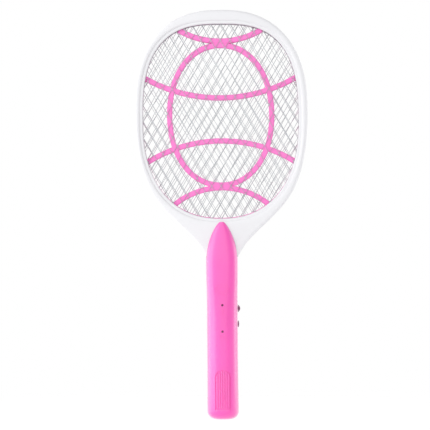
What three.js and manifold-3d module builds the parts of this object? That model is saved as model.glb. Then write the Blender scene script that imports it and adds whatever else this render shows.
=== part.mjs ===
// Electric fly swatter: a racket-shaped head with three metal grids, on a hand grip that holds the
// high-voltage circuit, two rechargeable cells and a retractable charging plug.
//
// Millimetres. +Z runs up the handle to the head, the front faces -Y, +X is the right side seen from
// the front. Heights in this file are measured from the bottom of the handle; the whole group is
// then lowered so that the origin lies on the handle's axis where a hand closes on it.

import * as THREE from "three";
import { mergeVertices } from "three/addons/utils/BufferGeometryUtils.js";
import Module from "manifold-3d";

const wasm = await Module();
wasm.setup();

// ---------- driving dimensions ----------

const GRIP_HEIGHT = 78;
const GAP = 0.3; // between pieces that touch on the real object

// The head's outline, seen from the front.
const HEAD = { centre: 338, halfWidth: 95.5, rise: 112, power: 2.4 };
const HEAD_HALF_DEPTH = 11;
const HEAD_ROUNDING = { across: 3, deep: 3.5, steps: 2 };

// The opening that shows the grids is a superellipse, squarer above its middle than below.
const OPENING = { centre: 327.7, halfWidth: 85.6, halfHeight: 106.9, upper: 2.8, lower: 2.3 };
const CAPTURE = 3.2; // how far the grids and spacers run under the frame
const STACK_HALF_DEPTH = 6.5;

// The neck below the head, slimmer than the head, and the tang that the handle shells clamp.
const SHOULDER = { height: 178.3, halfWidth: 17.7 };
const NECK = { halfDepth: 7.6, slimUpTo: 190, fullFrom: 219 };
const TANG = { foot: 141, halfWidth: 11.6 };
const WIRE_CHANNEL = { halfWidth: 9.6, halfDepth: 4.6, deepFrom: 206, deepHalfDepth: 7 };

// Grids: diamonds of expanded metal, drawn coarser than the real mesh by COARSER.
const COARSER = 2;
const DIAMOND = { width: 10.64 * COARSER, height: 17.85 * COARSER, strand: 1.6 };
const GRID_THICKNESS = 0.6;
const GUARD_OFFSET = 5.9;
const TAB = { offset: 6, halfWidth: 3, foot: 212 };

// Spacers between the grids.
const SPACER = { near: 0.7, far: 5.3, rib: 5.8, rimInset: 0.6, rimRise: 1.6 };
const SPACER_OVAL = { centre: 334.5, halfWidth: 56.2, halfHeight: 76.9, power: 2.12 };
const SPACER_BOWS = [
  { halfSpan: 44, ends: 427.4, middle: 416 },
  { halfSpan: 82, ends: 375, middle: 353.6 },
  { halfSpan: 79.3, ends: 284.2, middle: 306.2 },
  { halfSpan: 51, ends: 236.8, middle: 254.6 },
];

// The handle.
const GRIP = { halfWidth: 17.2, halfDepth: 16.5, footRadius: 8.8, wall: 2.4, floor: 3 };
const SHOULDER_SWELL = 0.6;
const FOOT_SWELL = 0.25;
const SQUARENESS = { shaft: 2.2, shoulder: 2.8, tongue: 2.45 };
const TONGUE = { tip: 217, length: 43, drop: 3.9, start: 175 };
const THUMB_PAD = { foot: 11, top: 55, halfWidth: 8.5, depth: 0.8, ribs: 5, ribWidth: 1.3 };

// What shows on the handle.
const LAMP_HEIGHTS = { charge: 125.8, power: 96.9 };
const LAMP_RADIUS = 1.1;
const SWITCH = { height: 121.7, travel: 4, halfLength: 3.9, halfWidth: 3, proud: 2.1 };
const BUTTON = { height: 104.7, radius: 3.8, flange: 4.8, tip: 18.55 };
const SIDE = 17.25; // the handle's side wall at the switch and the button

// Circuit board, standing just behind the handle's axis, and what is soldered to it.
const BOARD = { halfWidth: 12.5, front: 2.2, back: 3.8, foot: 93, top: 139 };
const TRANSFORMER = { halfWidth: 7.5, depth: 6.8, foot: 108, top: 122, rim: 2.5, yoke: 3 };
const TRANSFORMER_LEG = { halfWidth: 1.6, near: 1.6, far: 5.2, reach: 1 };
const CAPACITOR = { halfWidth: 6, depth: 6.3, foot: 125, top: 136 };
const TRANSISTOR = { x: -8, radius: 2.4, flat: -1.2, foot: 109, top: 113.5 };
const RESISTOR = { x: -8, y: 0.6, radius: 1.1, foot: 118, top: 124.5 };
const DIODE = { pitch: 6, radius: 1.35, standoff: 1.5, foot: 97, top: 102.2 };
const SWITCH_BODY = { near: 4.8, far: 12.2, front: -3.9, ends: 4.6, slot: 1.9, slotHalf: 1.5 };
const BUTTON_SWITCH = { near: 3.4, far: 8.2, front: -3.9, halfLength: 3, plunger: 1.7, stroke: 1.3 };

// Cells.
const CELL = { radius: 7, foot: 49.2, top: 91.5, offset: 7.35 };

// Charging plug: two flat blades on a carrier that slides down out of the handle.
const BLADE = { offset: 6.35, thick: 1.5, wide: 6.3, tip: 1, top: 40 };
const PLUG_TRAVEL = 17;
const CARRIER = { foot: 22, top: 38, halfWidth: 9.5, halfDepth: 6 };
const SLIDER = { height: 30, halfLength: 6, halfWidth: 4, stem: 2.3 };

// Screws.
const SCREW = { head: 2.4, headDepth: 1.5, shank: 1.1, clearance: 1.45, counterbore: 2.9 };
const FRAME_SCREW_INSET = 6;
const BOSS = 3.2;
const TANG_SCREWS = [150, 169];
const GRIP_SCREW = 44.2;

// ---------- colours ----------

const paint = (color, roughness, metalness = 0) =>
  new THREE.MeshStandardMaterial({ color, roughness, metalness });

const LOOKS = {
  whitePlastic: paint("#f2f2f4", 0.35),
  pinkSpacer: paint("#f88fd2", 0.45),
  pinkGrip: paint("#f869c4", 0.4),
  steel: paint("#c9ccd0", 0.35, 1),
  redLamp: paint("#7a1230", 0.2),
  darkPlastic: paint("#26262a", 0.5),
  board: paint("#2f7a4a", 0.6),
  ferrite: paint("#3a3a3e", 0.7),
  copper: paint("#c77b45", 0.4, 1),
  brass: paint("#d3b46a", 0.35, 1),
  cellSleeve: paint("#3f8f5a", 0.4),
  capacitor: paint("#b3502c", 0.5),
  redWire: paint("#c8202a", 0.5),
  blackWire: paint("#1c1c1e", 0.5),
};

// ---------- solids ----------

// Turns a closed geometry into a solid that can be joined and cut.
function solid(geometry) {
  const bare = geometry.clone();
  bare.deleteAttribute("normal");
  bare.deleteAttribute("uv");
  const merged = mergeVertices(bare, 1e-4);
  return new wasm.Manifold(
    new wasm.Mesh({
      numProp: 3,
      vertProperties: merged.attributes.position.array,
      triVerts: new Uint32Array(merged.index.array),
    }),
  );
}

// Turns a solid back into a named mesh.
function piece(name, look, body) {
  const { vertProperties, triVerts } = body.getMesh();
  const geometry = new THREE.BufferGeometry();
  geometry.setAttribute("position", new THREE.BufferAttribute(vertProperties, 3));
  geometry.setIndex(new THREE.BufferAttribute(triVerts, 1));
  geometry.computeVertexNormals();
  const mesh = new THREE.Mesh(geometry, look);
  mesh.name = name;
  return mesh;
}

function box([x0, x1], [y0, y1], [z0, z1]) {
  const geometry = new THREE.BoxGeometry(x1 - x0, y1 - y0, z1 - z0);
  return solid(geometry.translate((x0 + x1) / 2, (y0 + y1) / 2, (z0 + z1) / 2));
}

// A round rod between two points.
function rod(radius, from, to, sides = 16) {
  const start = new THREE.Vector3(...from);
  const end = new THREE.Vector3(...to);
  const along = end.clone().sub(start);
  const geometry = new THREE.CylinderGeometry(radius, radius, along.length(), sides);
  const turn = new THREE.Quaternion();
  turn.setFromUnitVectors(new THREE.Vector3(0, 1, 0), along.clone().normalize());
  const middle = start.add(end).multiplyScalar(0.5);
  return solid(geometry.applyQuaternion(turn).translate(middle.x, middle.y, middle.z));
}

// A shape drawn as seen from the front, filled from y0 to y1.
function frontPrism(shape, [y0, y1], rounding = null, curveSegments = 24) {
  const across = rounding ? rounding.across : 0;
  const deep = rounding ? rounding.deep : 0;
  const geometry = new THREE.ExtrudeGeometry(shape, {
    depth: y1 - y0 - 2 * deep,
    bevelEnabled: rounding !== null,
    bevelThickness: deep,
    bevelSize: across,
    bevelOffset: -across,
    bevelSegments: rounding ? rounding.steps : 0,
    curveSegments,
  });
  return solid(geometry.rotateX(Math.PI / 2).translate(0, y1 - deep, 0));
}

// A profile of (radius, distance) points turned about a line that leaves a point along an axis.
function turned(profile, origin, axis, sides = 16) {
  const points = profile.map(([radius, along]) => new THREE.Vector2(radius, along));
  const geometry = new THREE.LatheGeometry(points, sides);
  const turn = new THREE.Quaternion();
  turn.setFromUnitVectors(new THREE.Vector3(0, 1, 0), new THREE.Vector3(...axis));
  return solid(geometry.applyQuaternion(turn).translate(...origin));
}

// A round insulated wire through hand-chosen points.
function wire(radius, points, steps = 12) {
  const path = new THREE.CatmullRomCurve3(points.map((p) => new THREE.Vector3(...p)));
  path.curveType = "centripetal";
  const section = new THREE.Shape();
  section.absarc(0, 0, radius, 0, 2 * Math.PI);
  const options = { steps, extrudePath: path, curveSegments: 4, bevelEnabled: false };
  return solid(new THREE.ExtrudeGeometry(section, options));
}

const union = (first, ...rest) => rest.reduce((joined, next) => joined.add(next), first);

const FAR = 600;
const FRONT_HALF = () => box([-FAR, FAR], [-FAR, -GAP / 2], [-FAR, FAR]);
const REAR_HALF = () => box([-FAR, FAR], [GAP / 2, FAR], [-FAR, FAR]);

// ---------- curves ----------

function smooth(from, to, value) {
  const t = THREE.MathUtils.clamp((value - from) / (to - from), 0, 1);
  return t * t * (3 - 2 * t);
}

// A point of a superellipse at a turn of `angle` from +X.
function superPoint(angle, halfWidth, halfHeight, power) {
  const exact = (value) => (Math.abs(value) < 1e-7 ? 0 : value);
  const c = exact(Math.cos(angle));
  const s = exact(Math.sin(angle));
  return new THREE.Vector2(
    halfWidth * Math.sign(c) * Math.abs(c) ** (2 / power),
    halfHeight * Math.sign(s) * Math.abs(s) ** (2 / power),
  );
}

// A point of the opening's outline grown by `grow`, which the grids, spacers and screws all follow.
function openingPoint(angle, grow = 0) {
  const power = Math.sin(angle) > 0 ? OPENING.upper : OPENING.lower;
  const point = superPoint(angle, OPENING.halfWidth + grow, OPENING.halfHeight + grow, power);
  return point.add(new THREE.Vector2(0, OPENING.centre));
}

function closedPoints(pointAt, count = 64) {
  return Array.from({ length: count }, (_, i) => pointAt((2 * Math.PI * i) / count));
}

const openingShape = (grow, count = 64, rise = 0) => {
  const raised = new THREE.Vector2(0, rise);
  return new THREE.Shape(closedPoints((angle) => openingPoint(angle, grow).add(raised), count));
};

function ovalShape(grow) {
  const { centre, halfWidth, halfHeight, power } = SPACER_OVAL;
  const pointAt = (angle) =>
    superPoint(angle, halfWidth + grow, halfHeight + grow, power).add(new THREE.Vector2(0, centre));
  return new THREE.Shape(closedPoints(pointAt, 36));
}

function withHole(shape, hole) {
  shape.holes.push(new THREE.Path(hole.getPoints()));
  return shape;
}

// The head, its neck and the tang, as one outline.
function frameOutline() {
  const side = new THREE.Path();
  side.moveTo(TANG.halfWidth, TANG.foot);
  side.lineTo(TANG.halfWidth, SHOULDER.height + GAP);
  side.lineTo(SHOULDER.halfWidth, SHOULDER.height + GAP);
  side.bezierCurveTo(27.1, 196, 30.3, 197.2, 40, 207.3);
  side.lineTo(52, 218.3);
  side.bezierCurveTo(66.7, 234.6, HEAD.halfWidth, 252, HEAD.halfWidth, HEAD.centre);
  const right = side.getPoints(8);
  const crownSteps = 12;
  for (let i = 1; i <= crownSteps; i++) {
    const point = superPoint((i / crownSteps) * (Math.PI / 2), HEAD.halfWidth, HEAD.rise, HEAD.power);
    right.push(point.add(new THREE.Vector2(0, HEAD.centre)));
  }
  const left = right
    .slice(0, -1)
    .reverse()
    .map((point) => new THREE.Vector2(-point.x, point.y));
  return new THREE.Shape([...right, ...left]);
}

// ---------- head frame ----------

const frameScrewAngles = Array.from({ length: 10 }, (_, i) => Math.PI / 2 + (i * Math.PI) / 5)
  .filter((_, i) => i !== 5); // the neck takes the place of the lowest one

// A profile of (y, height) points carried across the whole neck.
function neckPrism(points) {
  const profile = new THREE.Shape(points.map(([y, height]) => new THREE.Vector2(y, height)));
  const geometry = new THREE.ExtrudeGeometry(profile, { depth: 120, bevelEnabled: false });
  geometry.translate(0, 0, -60);
  return solid(geometry.rotateY(Math.PI / 2).rotateX(Math.PI / 2));
}

// What is taken off the front and the rear to slim the neck.
function neckRelief() {
  const { halfDepth, slimUpTo, fullFrom } = NECK;
  const low = SHOULDER.height - GAP; // the tang is thicker, up to here
  const outside = HEAD_HALF_DEPTH + 10;
  const profile = (side) => [
    [side * halfDepth, low],
    [side * outside, low],
    [side * outside, fullFrom],
    [side * HEAD_HALF_DEPTH, fullFrom],
    [side * halfDepth, slimUpTo],
  ];
  return neckPrism(profile(1)).add(neckPrism(profile(-1).reverse()));
}

// The leads' channel, deepened at its top for the grids' tabs.
function wireChannel() {
  const { halfWidth, halfDepth, deepFrom, deepHalfDepth } = WIRE_CHANNEL;
  const across = [-halfWidth, halfWidth];
  const low = box(across, [-halfDepth, halfDepth], [TANG.foot - 5, deepFrom + 1]);
  const top = OPENING.centre - OPENING.halfHeight + 5;
  return low.add(box(across, [-deepHalfDepth, deepHalfDepth], [deepFrom, top]));
}

// The two halves as one block, with the pocket for the grids, the wire channel and the screw bosses.
function frameBlock() {
  const outline = withHole(frameOutline(), openingShape(0, 40));
  let block = frontPrism(outline, [-HEAD_HALF_DEPTH, HEAD_HALF_DEPTH], HEAD_ROUNDING);
  const stack = [-STACK_HALF_DEPTH, STACK_HALF_DEPTH];
  const pocket = frontPrism(openingShape(CAPTURE), stack);
  block = block.subtract(pocket.add(wireChannel())).subtract(neckRelief());
  for (const height of TANG_SCREWS) {
    block = block.add(rod(BOSS, [0, -HEAD_HALF_DEPTH + 2, height], [0, HEAD_HALF_DEPTH - 2, height]));
    block = block.subtract(rod(SCREW.clearance, [0, -20, height], [0, 20, height], 12));
  }
  for (const angle of frameScrewAngles) {
    const { x, y: z } = openingPoint(angle, FRAME_SCREW_INSET);
    const seat = HEAD_HALF_DEPTH - 2.2;
    const hole = rod(SCREW.clearance, [x, -7, z], [x, seat + 0.5, z], 8);
    const counterbore = rod(SCREW.counterbore, [x, seat, z], [x, 20, z], 12);
    block = block.subtract(hole.add(counterbore));
  }
  return block;
}

function frameShells() {
  const block = frameBlock();
  return [
    piece("front_frame_shell", LOOKS.whitePlastic, block.intersect(FRONT_HALF())),
    piece("rear_frame_shell", LOOKS.whitePlastic, block.intersect(REAR_HALF())),
  ];
}

function frameScrews() {
  return frameScrewAngles.map((angle, i) => {
    const { x, y: z } = openingPoint(angle, FRAME_SCREW_INSET);
    return screw("frame_screw_" + (i + 1), [x, HEAD_HALF_DEPTH - 0.4, z], 15);
  });
}

// A pan-head screw driven towards the front, with its head's crown at `crown`.
function screw(name, crown, length) {
  const { head, headDepth, shank } = SCREW;
  const profile = [
    [0, 0],
    [head * 0.75, 0],
    [head, 0.6],
    [head, headDepth],
    [shank, headDepth],
    [shank, length - 1],
    [0, length],
  ];
  const body = turned(profile, crown, [0, -1, 0], 8);
  const slot = box(
    [crown[0] - head * 0.7, crown[0] + head * 0.7],
    [crown[1] - 0.5, crown[1] + 1],
    [crown[2] - 0.3, crown[2] + 0.3],
  );
  return piece(name, LOOKS.steel, body.subtract(slot));
}

// ---------- grids ----------

function diamond(x, z, halfWidth, halfHeight) {
  return new THREE.Path([
    new THREE.Vector2(x + halfWidth, z),
    new THREE.Vector2(x, z + halfHeight),
    new THREE.Vector2(x - halfWidth, z),
    new THREE.Vector2(x, z - halfHeight),
  ]);
}

// A sheet of diamond openings inside the opening's outline, with a solid rim and a soldering tab.
function grid(name, offset, tabSide, shift) {
  const { width, height, strand } = DIAMOND;
  const slope = Math.atan2(height, width);
  const halfWidth = width / 2 - strand / 2 / Math.sin(slope);
  const halfHeight = height / 2 - strand / 2 / Math.cos(slope);
  const reach = new THREE.Vector2(OPENING.halfWidth + width, OPENING.halfHeight + height);
  const sheet = new THREE.Shape([
    new THREE.Vector2(-reach.x, OPENING.centre - reach.y),
    new THREE.Vector2(reach.x, OPENING.centre - reach.y),
    new THREE.Vector2(reach.x, OPENING.centre + reach.y),
    new THREE.Vector2(-reach.x, OPENING.centre + reach.y),
  ]);
  const columns = Math.ceil((2 * OPENING.halfWidth) / width);
  const rows = Math.ceil((2 * OPENING.halfHeight) / height);
  for (let row = -rows; row <= rows; row++) {
    for (let column = -columns; column <= columns; column++) {
      if ((row + column) % 2 !== 0) continue;
      const x = ((column + shift.x) * width) / 2;
      const z = ((row + shift.z) * height) / 2;
      const outside = Math.hypot(x / OPENING.halfWidth, z / OPENING.halfHeight) > 1.25;
      const clipped = Math.abs(x) > reach.x - width / 2 || Math.abs(z) > reach.y - height / 2;
      if (outside || clipped) continue;
      sheet.holes.push(diamond(x, z + OPENING.centre, halfWidth, halfHeight));
    }
  }
  const depth = [offset - GRID_THICKNESS / 2, offset + GRID_THICKNESS / 2];
  const edge = CAPTURE - GAP;
  const clip = frontPrism(openingShape(edge, 32), depth);
  const rim = frontPrism(withHole(openingShape(edge, 32), openingShape(0.4, 32)), depth);
  const tab = box(
    [tabSide * TAB.offset - TAB.halfWidth, tabSide * TAB.offset + TAB.halfWidth],
    depth,
    [TAB.foot, OPENING.centre - OPENING.halfHeight],
  );
  return piece(name, LOOKS.steel, union(frontPrism(sheet, depth).intersect(clip), rim, tab));
}

function grids() {
  return [
    grid("front_guard_grid", -GUARD_OFFSET, -1, { x: 0, z: 0 }),
    grid("high_voltage_grid", 0, 1, { x: 0.5, z: 0.5 }),
    grid("rear_guard_grid", GUARD_OFFSET, -1, { x: 0, z: 0.3 }),
  ];
}

// ---------- spacers ----------

// A band bent to an arc through both ends and the middle of a bow.
function bowShape({ halfSpan, ends, middle }) {
  const sagitta = ends - middle;
  const radius = (halfSpan ** 2 + sagitta ** 2) / (2 * Math.abs(sagitta));
  const centre = middle + Math.sign(sagitta) * radius;
  const half = Math.asin(halfSpan / radius) + 0.06;
  const towards = sagitta > 0 ? -Math.PI / 2 : Math.PI / 2;
  const shape = new THREE.Shape();
  shape.absarc(0, centre, radius + SPACER.rib / 2, towards - half, towards + half, false);
  shape.absarc(0, centre, radius - SPACER.rib / 2, towards + half, towards - half, true);
  return shape;
}

function spacer(name, depth) {
  const edge = CAPTURE - GAP;
  const hole = openingShape(SPACER.rimInset, 32, SPACER.rimRise); // the rim shows only at the bottom
  const rim = frontPrism(withHole(openingShape(edge, 32), hole), depth);
  const halfRib = SPACER.rib / 2;
  const oval = frontPrism(withHole(ovalShape(halfRib), ovalShape(-halfRib)), depth);
  const bows = SPACER_BOWS.map((bow) => frontPrism(bowShape(bow), depth, null, 8));
  const clip = frontPrism(openingShape(edge, 32), depth);
  return piece(name, LOOKS.pinkSpacer, union(rim, union(oval, ...bows).intersect(clip)));
}

const spacers = () => [
  spacer("front_spacer", [-SPACER.far, -SPACER.near]),
  spacer("rear_spacer", [SPACER.near, SPACER.far]),
];

// ---------- handle ----------

// How far the rounded foot draws the outline in at a height.
function footInset(height) {
  const { footRadius } = GRIP;
  const below = Math.max(0, footRadius - height);
  return footRadius - Math.sqrt(footRadius ** 2 - below ** 2);
}

// Half the handle's width, half its depth and how square its section is, at a height.
function gripSection(height) {
  const swell =
    SHOULDER_SWELL * smooth(130, 166, height) + FOOT_SWELL * (1 - smooth(8, 45, height));
  const above = Math.max(0, height - TONGUE.start);
  const ogive = Math.sqrt(1 - (above / TONGUE.length) ** 2);
  const drop = TONGUE.drop * (above / TONGUE.length) ** 1.3;
  const squarer = (SQUARENESS.shoulder - SQUARENESS.shaft) * smooth(105, 160, height);
  const rounder = (SQUARENESS.shoulder - SQUARENESS.tongue) * smooth(172, 200, height);
  return {
    halfWidth: (GRIP.halfWidth + swell - footInset(height)) * ogive,
    halfDepth: GRIP.halfDepth - drop - footInset(height),
    power: SQUARENESS.shaft + squarer - rounder,
  };
}

// A solid of superelliptic sections at the given heights, drawn in from the handle's surface.
function gripLoft(heights, inset) {
  const sides = 32;
  const geometry = new THREE.CylinderGeometry(1, 1, 1, sides, heights.length - 1);
  const place = geometry.attributes.position;
  for (let i = 0; i < place.count; i++) {
    const radial = Math.min(1, Math.hypot(place.getX(i), place.getZ(i)));
    const angle = Math.atan2(-place.getZ(i), place.getX(i));
    const height = heights[Math.round((place.getY(i) + 0.5) * (heights.length - 1))];
    const { halfWidth, halfDepth, power } = gripSection(height);
    const point = superPoint(angle, halfWidth - inset, halfDepth - inset, power);
    place.setXYZ(i, radial * point.x, radial * point.y, height);
  }
  return solid(geometry);
}

const gripHeights = [0, 0.9, 2.8, 5.4, 8.8, 30, 130, 148, 166, 178, 188, 198, 206, 212, 215.4,
  TONGUE.tip];
const cavityHeights = [GRIP.floor, 5.4, 8.8, 30, 130, 148, 166, SHOULDER.height];

// The space that the frame's neck takes up above the handle's shoulder.
function neckSpace() {
  const slim = NECK.halfDepth + GAP;
  const full = HEAD_HALF_DEPTH + GAP;
  const top = TONGUE.tip + 10;
  return neckPrism([
    [-slim, SHOULDER.height],
    [slim, SHOULDER.height],
    [slim, NECK.slimUpTo],
    [full, NECK.fullFrom],
    [full, top],
    [-full, top],
    [-full, NECK.fullFrom],
    [-slim, NECK.slimUpTo],
  ]);
}

// Grooves of the thumb pad: an arch-topped patch cut a little way in, with upright ribs left standing.
function thumbPadGrooves() {
  const { foot, top, halfWidth, depth, ribs, ribWidth } = THUMB_PAD;
  const arch = new THREE.Shape();
  arch.moveTo(-halfWidth, foot);
  arch.lineTo(halfWidth, foot);
  arch.lineTo(halfWidth, top - halfWidth);
  arch.absarc(0, top - halfWidth, halfWidth, 0, Math.PI, false);
  let grooves = frontPrism(arch, [-30, 0], null, 8);
  const pitch = (2 * halfWidth) / (ribs + 1);
  for (let i = 1; i <= ribs; i++) {
    const x = -halfWidth + i * pitch;
    grooves = grooves.subtract(box([x - ribWidth / 2, x + ribWidth / 2], [-31, 1], [0, 60]));
  }
  return grooves.subtract(gripLoft(gripHeights, depth));
}

// Everything cut through the handle's wall for what moves or shows there.
function handleOpenings() {
  const lamps = Object.values(LAMP_HEIGHTS).map((height) =>
    rod(LAMP_RADIUS + 0.3, [0, -30, height], [0, -8, height]),
  );
  const buttonHole = rod(BUTTON.radius + 0.35, [10, 0, BUTTON.height], [30, 0, BUTTON.height], 24);
  const switchSlot = box(
    [10, 30],
    [-1.5, 1.5],
    [SWITCH.height - 2.3, SWITCH.height + SWITCH.travel + 2.3],
  );
  const sliderSlot = box(
    [-SLIDER.stem - GAP, SLIDER.stem + GAP],
    [8, 30],
    [SLIDER.height - PLUG_TRAVEL - SLIDER.stem - GAP, SLIDER.height + SLIDER.stem + GAP],
  );
  const blades = [-1, 1].map((side) => bladeBody(side, GAP, -5, 10));
  return union(buttonHole, switchSlot, sliderSlot, ...lamps, ...blades);
}

// Screw bosses that reach in from both walls: one above the plug, two round the tang.
function handleBosses() {
  const grip = rod(BOSS, [0, -15, GRIP_SCREW], [0, 15, GRIP_SCREW]);
  const tang = TANG_SCREWS.map((height) => {
    const inner = HEAD_HALF_DEPTH + GAP;
    const front = rod(BOSS, [0, -15, height], [0, -inner, height]);
    return front.add(rod(BOSS, [0, inner, height], [0, 15, height]));
  });
  return union(grip, ...tang);
}

// Clearance for the handle's screws, counterbored from the rear.
function handleScrewHoles() {
  const seats = [[GRIP_SCREW, 8], ...TANG_SCREWS.map((height) => [height, 13.4])];
  return union(
    ...seats.map(([height, seat]) => {
      const hole = rod(SCREW.clearance, [0, -13.5, height], [0, seat + 0.5, height], 12);
      return hole.add(rod(SCREW.counterbore, [0, seat, height], [0, 30, height]));
    }),
  );
}

function handleShells() {
  const hollow = gripLoft(gripHeights, 0)
    .subtract(gripLoft(cavityHeights, GRIP.wall))
    .subtract(neckSpace())
    .add(handleBosses())
    .subtract(handleOpenings())
    .subtract(handleScrewHoles())
    .subtract(thumbPadGrooves());
  return [
    piece("front_handle_shell", LOOKS.pinkGrip, hollow.intersect(FRONT_HALF())),
    piece("rear_handle_shell", LOOKS.pinkGrip, hollow.intersect(REAR_HALF())),
  ];
}

function handleScrews() {
  return [
    screw("handle_screw_1", [0, 9.8, GRIP_SCREW], 20),
    screw("handle_screw_2", [0, 15.2, TANG_SCREWS[0]], 26),
    screw("handle_screw_3", [0, 15.2, TANG_SCREWS[1]], 26),
  ];
}

// ---------- lamps, switch and button ----------

// A round lamp with its dome just proud of the handle, a flange behind the wall and two legs.
function lamp(name, height) {
  const profile = [
    [0, 0],
    [LAMP_RADIUS + 0.5, 0],
    [LAMP_RADIUS + 0.5, 1],
    [LAMP_RADIUS, 1],
    [LAMP_RADIUS, 4.8],
    [LAMP_RADIUS * 0.71, 5.6],
    [0, 5.9],
  ];
  const body = turned(profile, [0, -11.4, height], [0, -1, 0], 20);
  const legs = [-1, 1].map((side) =>
    rod(0.3, [side * 0.9, -11.9, height], [side * 0.9, BOARD.front - GAP, height], 6),
  );
  return piece(name, LOOKS.redLamp, union(body, ...legs));
}

// The slide switch's knob: a ridged cap outside the wall on a stem through the slot.
function switchKnob() {
  const { height, halfLength, halfWidth, proud } = SWITCH;
  const foot = SIDE + GAP;
  const cap = new THREE.Shape([
    new THREE.Vector2(foot, height - halfLength),
    new THREE.Vector2(foot + 0.7, height - halfLength + 0.3),
    new THREE.Vector2(foot + proud, height - 0.8),
    new THREE.Vector2(foot + proud, height + 0.8),
    new THREE.Vector2(foot + 0.7, height + halfLength - 0.3),
    new THREE.Vector2(foot, height + halfLength),
  ]);
  const stem = box([10.7, foot + 0.5], [-1.1, 1.1], [height - 1.9, height + 1.9]);
  return piece("slide_switch_knob", LOOKS.pinkGrip,
    frontPrism(cap, [-halfWidth, halfWidth]).add(stem));
}

function switchBody() {
  const { near, far, front, ends, slot, slotHalf } = SWITCH_BODY;
  const low = SWITCH.height - ends;
  const high = SWITCH.height + SWITCH.travel + ends;
  const block = box([near, far], [front, BOARD.front - GAP], [low, high]);
  const groove = box([far - slot, far + 1], [-slotHalf, slotHalf], [low + ends / 2, high - ends / 2]);
  return piece("slide_switch_body", LOOKS.darkPlastic, block.subtract(groove));
}

// The push button: a domed cap with a flange inside the wall and a stem to the switch behind it.
function pushButton() {
  const { height, radius, flange, tip } = BUTTON;
  const profile = [
    [0, 0],
    [1.6, 0],
    [1.6, 1.2],
    [flange, 1.2],
    [flange, 2.2],
    [radius, 2.2],
    [radius, tip - 11.9],
    [radius * 0.8, tip - 11.3],
    [0, tip - 11],
  ];
  return piece("push_button", LOOKS.pinkGrip, turned(profile, [11, 0, height], [1, 0, 0], 28));
}

function buttonSwitchBody() {
  const { height } = BUTTON;
  const { near, far, front, halfLength, plunger: radius, stroke } = BUTTON_SWITCH;
  const length = [height - halfLength, height + halfLength];
  const block = box([near, far], [front, BOARD.front - GAP], length);
  const plunger = rod(radius, [far - 0.2, 0, height], [far + stroke, 0, height], 14);
  return piece("button_switch_body", LOOKS.darkPlastic, block.add(plunger));
}

// ---------- circuit ----------

function circuitBoard() {
  const { halfWidth, front, back, foot, top } = BOARD;
  const board = box([-halfWidth, halfWidth], [front, back], [foot, top]);
  const { height, flange } = BUTTON; // the board is cut away behind the button's flange
  const notch = box([10.4, 20], [front - 1, back + 1], [height - flange - 1, height + flange + 1]);
  return piece("circuit_board", LOOKS.board, board.subtract(notch));
}

// An E-shaped ferrite core round a wound bobbin.
function transformer() {
  const { halfWidth, depth, foot, top, rim, yoke } = TRANSFORMER;
  const rear = BOARD.back + GAP;
  const windowHalf = halfWidth - rim;
  const windowFoot = foot + yoke;
  const windowTop = top - yoke;
  const block = box([-halfWidth, halfWidth], [rear, rear + depth], [foot, top]);
  const window = box([-windowHalf, windowHalf], [rear - 1, rear + depth + 1], [windowFoot, windowTop]);
  const core = block.subtract(window).add(transformerLeg(0));
  const bobbin = box(
    [GAP - windowHalf, windowHalf - GAP],
    [rear, rear + depth],
    [windowFoot + GAP, windowTop - GAP],
  );
  return [
    piece("transformer_core", LOOKS.ferrite, core),
    piece("transformer_winding", LOOKS.copper, bobbin.subtract(transformerLeg(GAP))),
  ];
}

// The core's middle leg, grown by a clearance where it bores the bobbin.
function transformerLeg(clearance) {
  const { halfWidth, near, far, reach } = TRANSFORMER_LEG;
  const rear = BOARD.back + GAP;
  return box(
    [-halfWidth - clearance, halfWidth + clearance],
    [rear + near - clearance, rear + far + clearance],
    [TRANSFORMER.foot + TRANSFORMER.yoke - reach, TRANSFORMER.top - TRANSFORMER.yoke + reach],
  );
}

function boardComponents() {
  const rear = BOARD.back + GAP;
  const capacitor = box(
    [-CAPACITOR.halfWidth, CAPACITOR.halfWidth],
    [rear, rear + CAPACITOR.depth],
    [CAPACITOR.foot, CAPACITOR.top],
  );
  const diodes = [-1, 0, 1].map((place, i) => {
    const x = place * DIODE.pitch;
    const y = rear + DIODE.standoff;
    const body = rod(DIODE.radius, [x, y, DIODE.foot], [x, y, DIODE.top], 12);
    return piece("rectifier_diode_" + (i + 1), LOOKS.darkPlastic, body);
  });
  const { x, y, radius, foot, top } = RESISTOR;
  return [
    piece("high_voltage_capacitor", LOOKS.capacitor, capacitor),
    piece("oscillator_transistor", LOOKS.darkPlastic, transistorBody()),
    piece("current_resistor", LOOKS.capacitor, rod(radius, [x, y, foot], [x, y, top], 12)),
    ...diodes,
  ];
}

// A round can with one flat face.
function transistorBody() {
  const { x, radius, flat, foot, top } = TRANSISTOR;
  const can = rod(radius, [x, 0, foot], [x, 0, top], 14);
  const keep = box([x - radius, x + radius], [flat, BOARD.front - GAP], [foot, top]);
  return can.intersect(keep);
}

function cells() {
  const cell = (name, side) => {
    const x = side * CELL.offset;
    const can = rod(CELL.radius, [x, 0, CELL.foot], [x, 0, CELL.top - 1], 28);
    const button = rod(2.6, [x, 0, CELL.top - 1.5], [x, 0, CELL.top], 16);
    return piece(name, LOOKS.cellSleeve, can.add(button));
  };
  const link = box([-10.5, 10.5], [-2.5, 2.5], [CELL.foot - 0.8, CELL.foot - GAP]);
  return [
    cell("rechargeable_cell_left", -1),
    cell("rechargeable_cell_right", 1),
    piece("cell_link", LOOKS.steel, link),
  ];
}

// ---------- charging plug ----------

// One blade with the foot that wipes its fixed contact, grown by a clearance where it is a cutter.
function bladeBody(side, clearance, low, high) {
  const x = side * BLADE.offset;
  const halfThick = BLADE.thick / 2 + clearance;
  const halfWide = BLADE.wide / 2 + clearance;
  return box([x - halfThick, x + halfThick], [-halfWide, halfWide], [low, high]);
}

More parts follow.
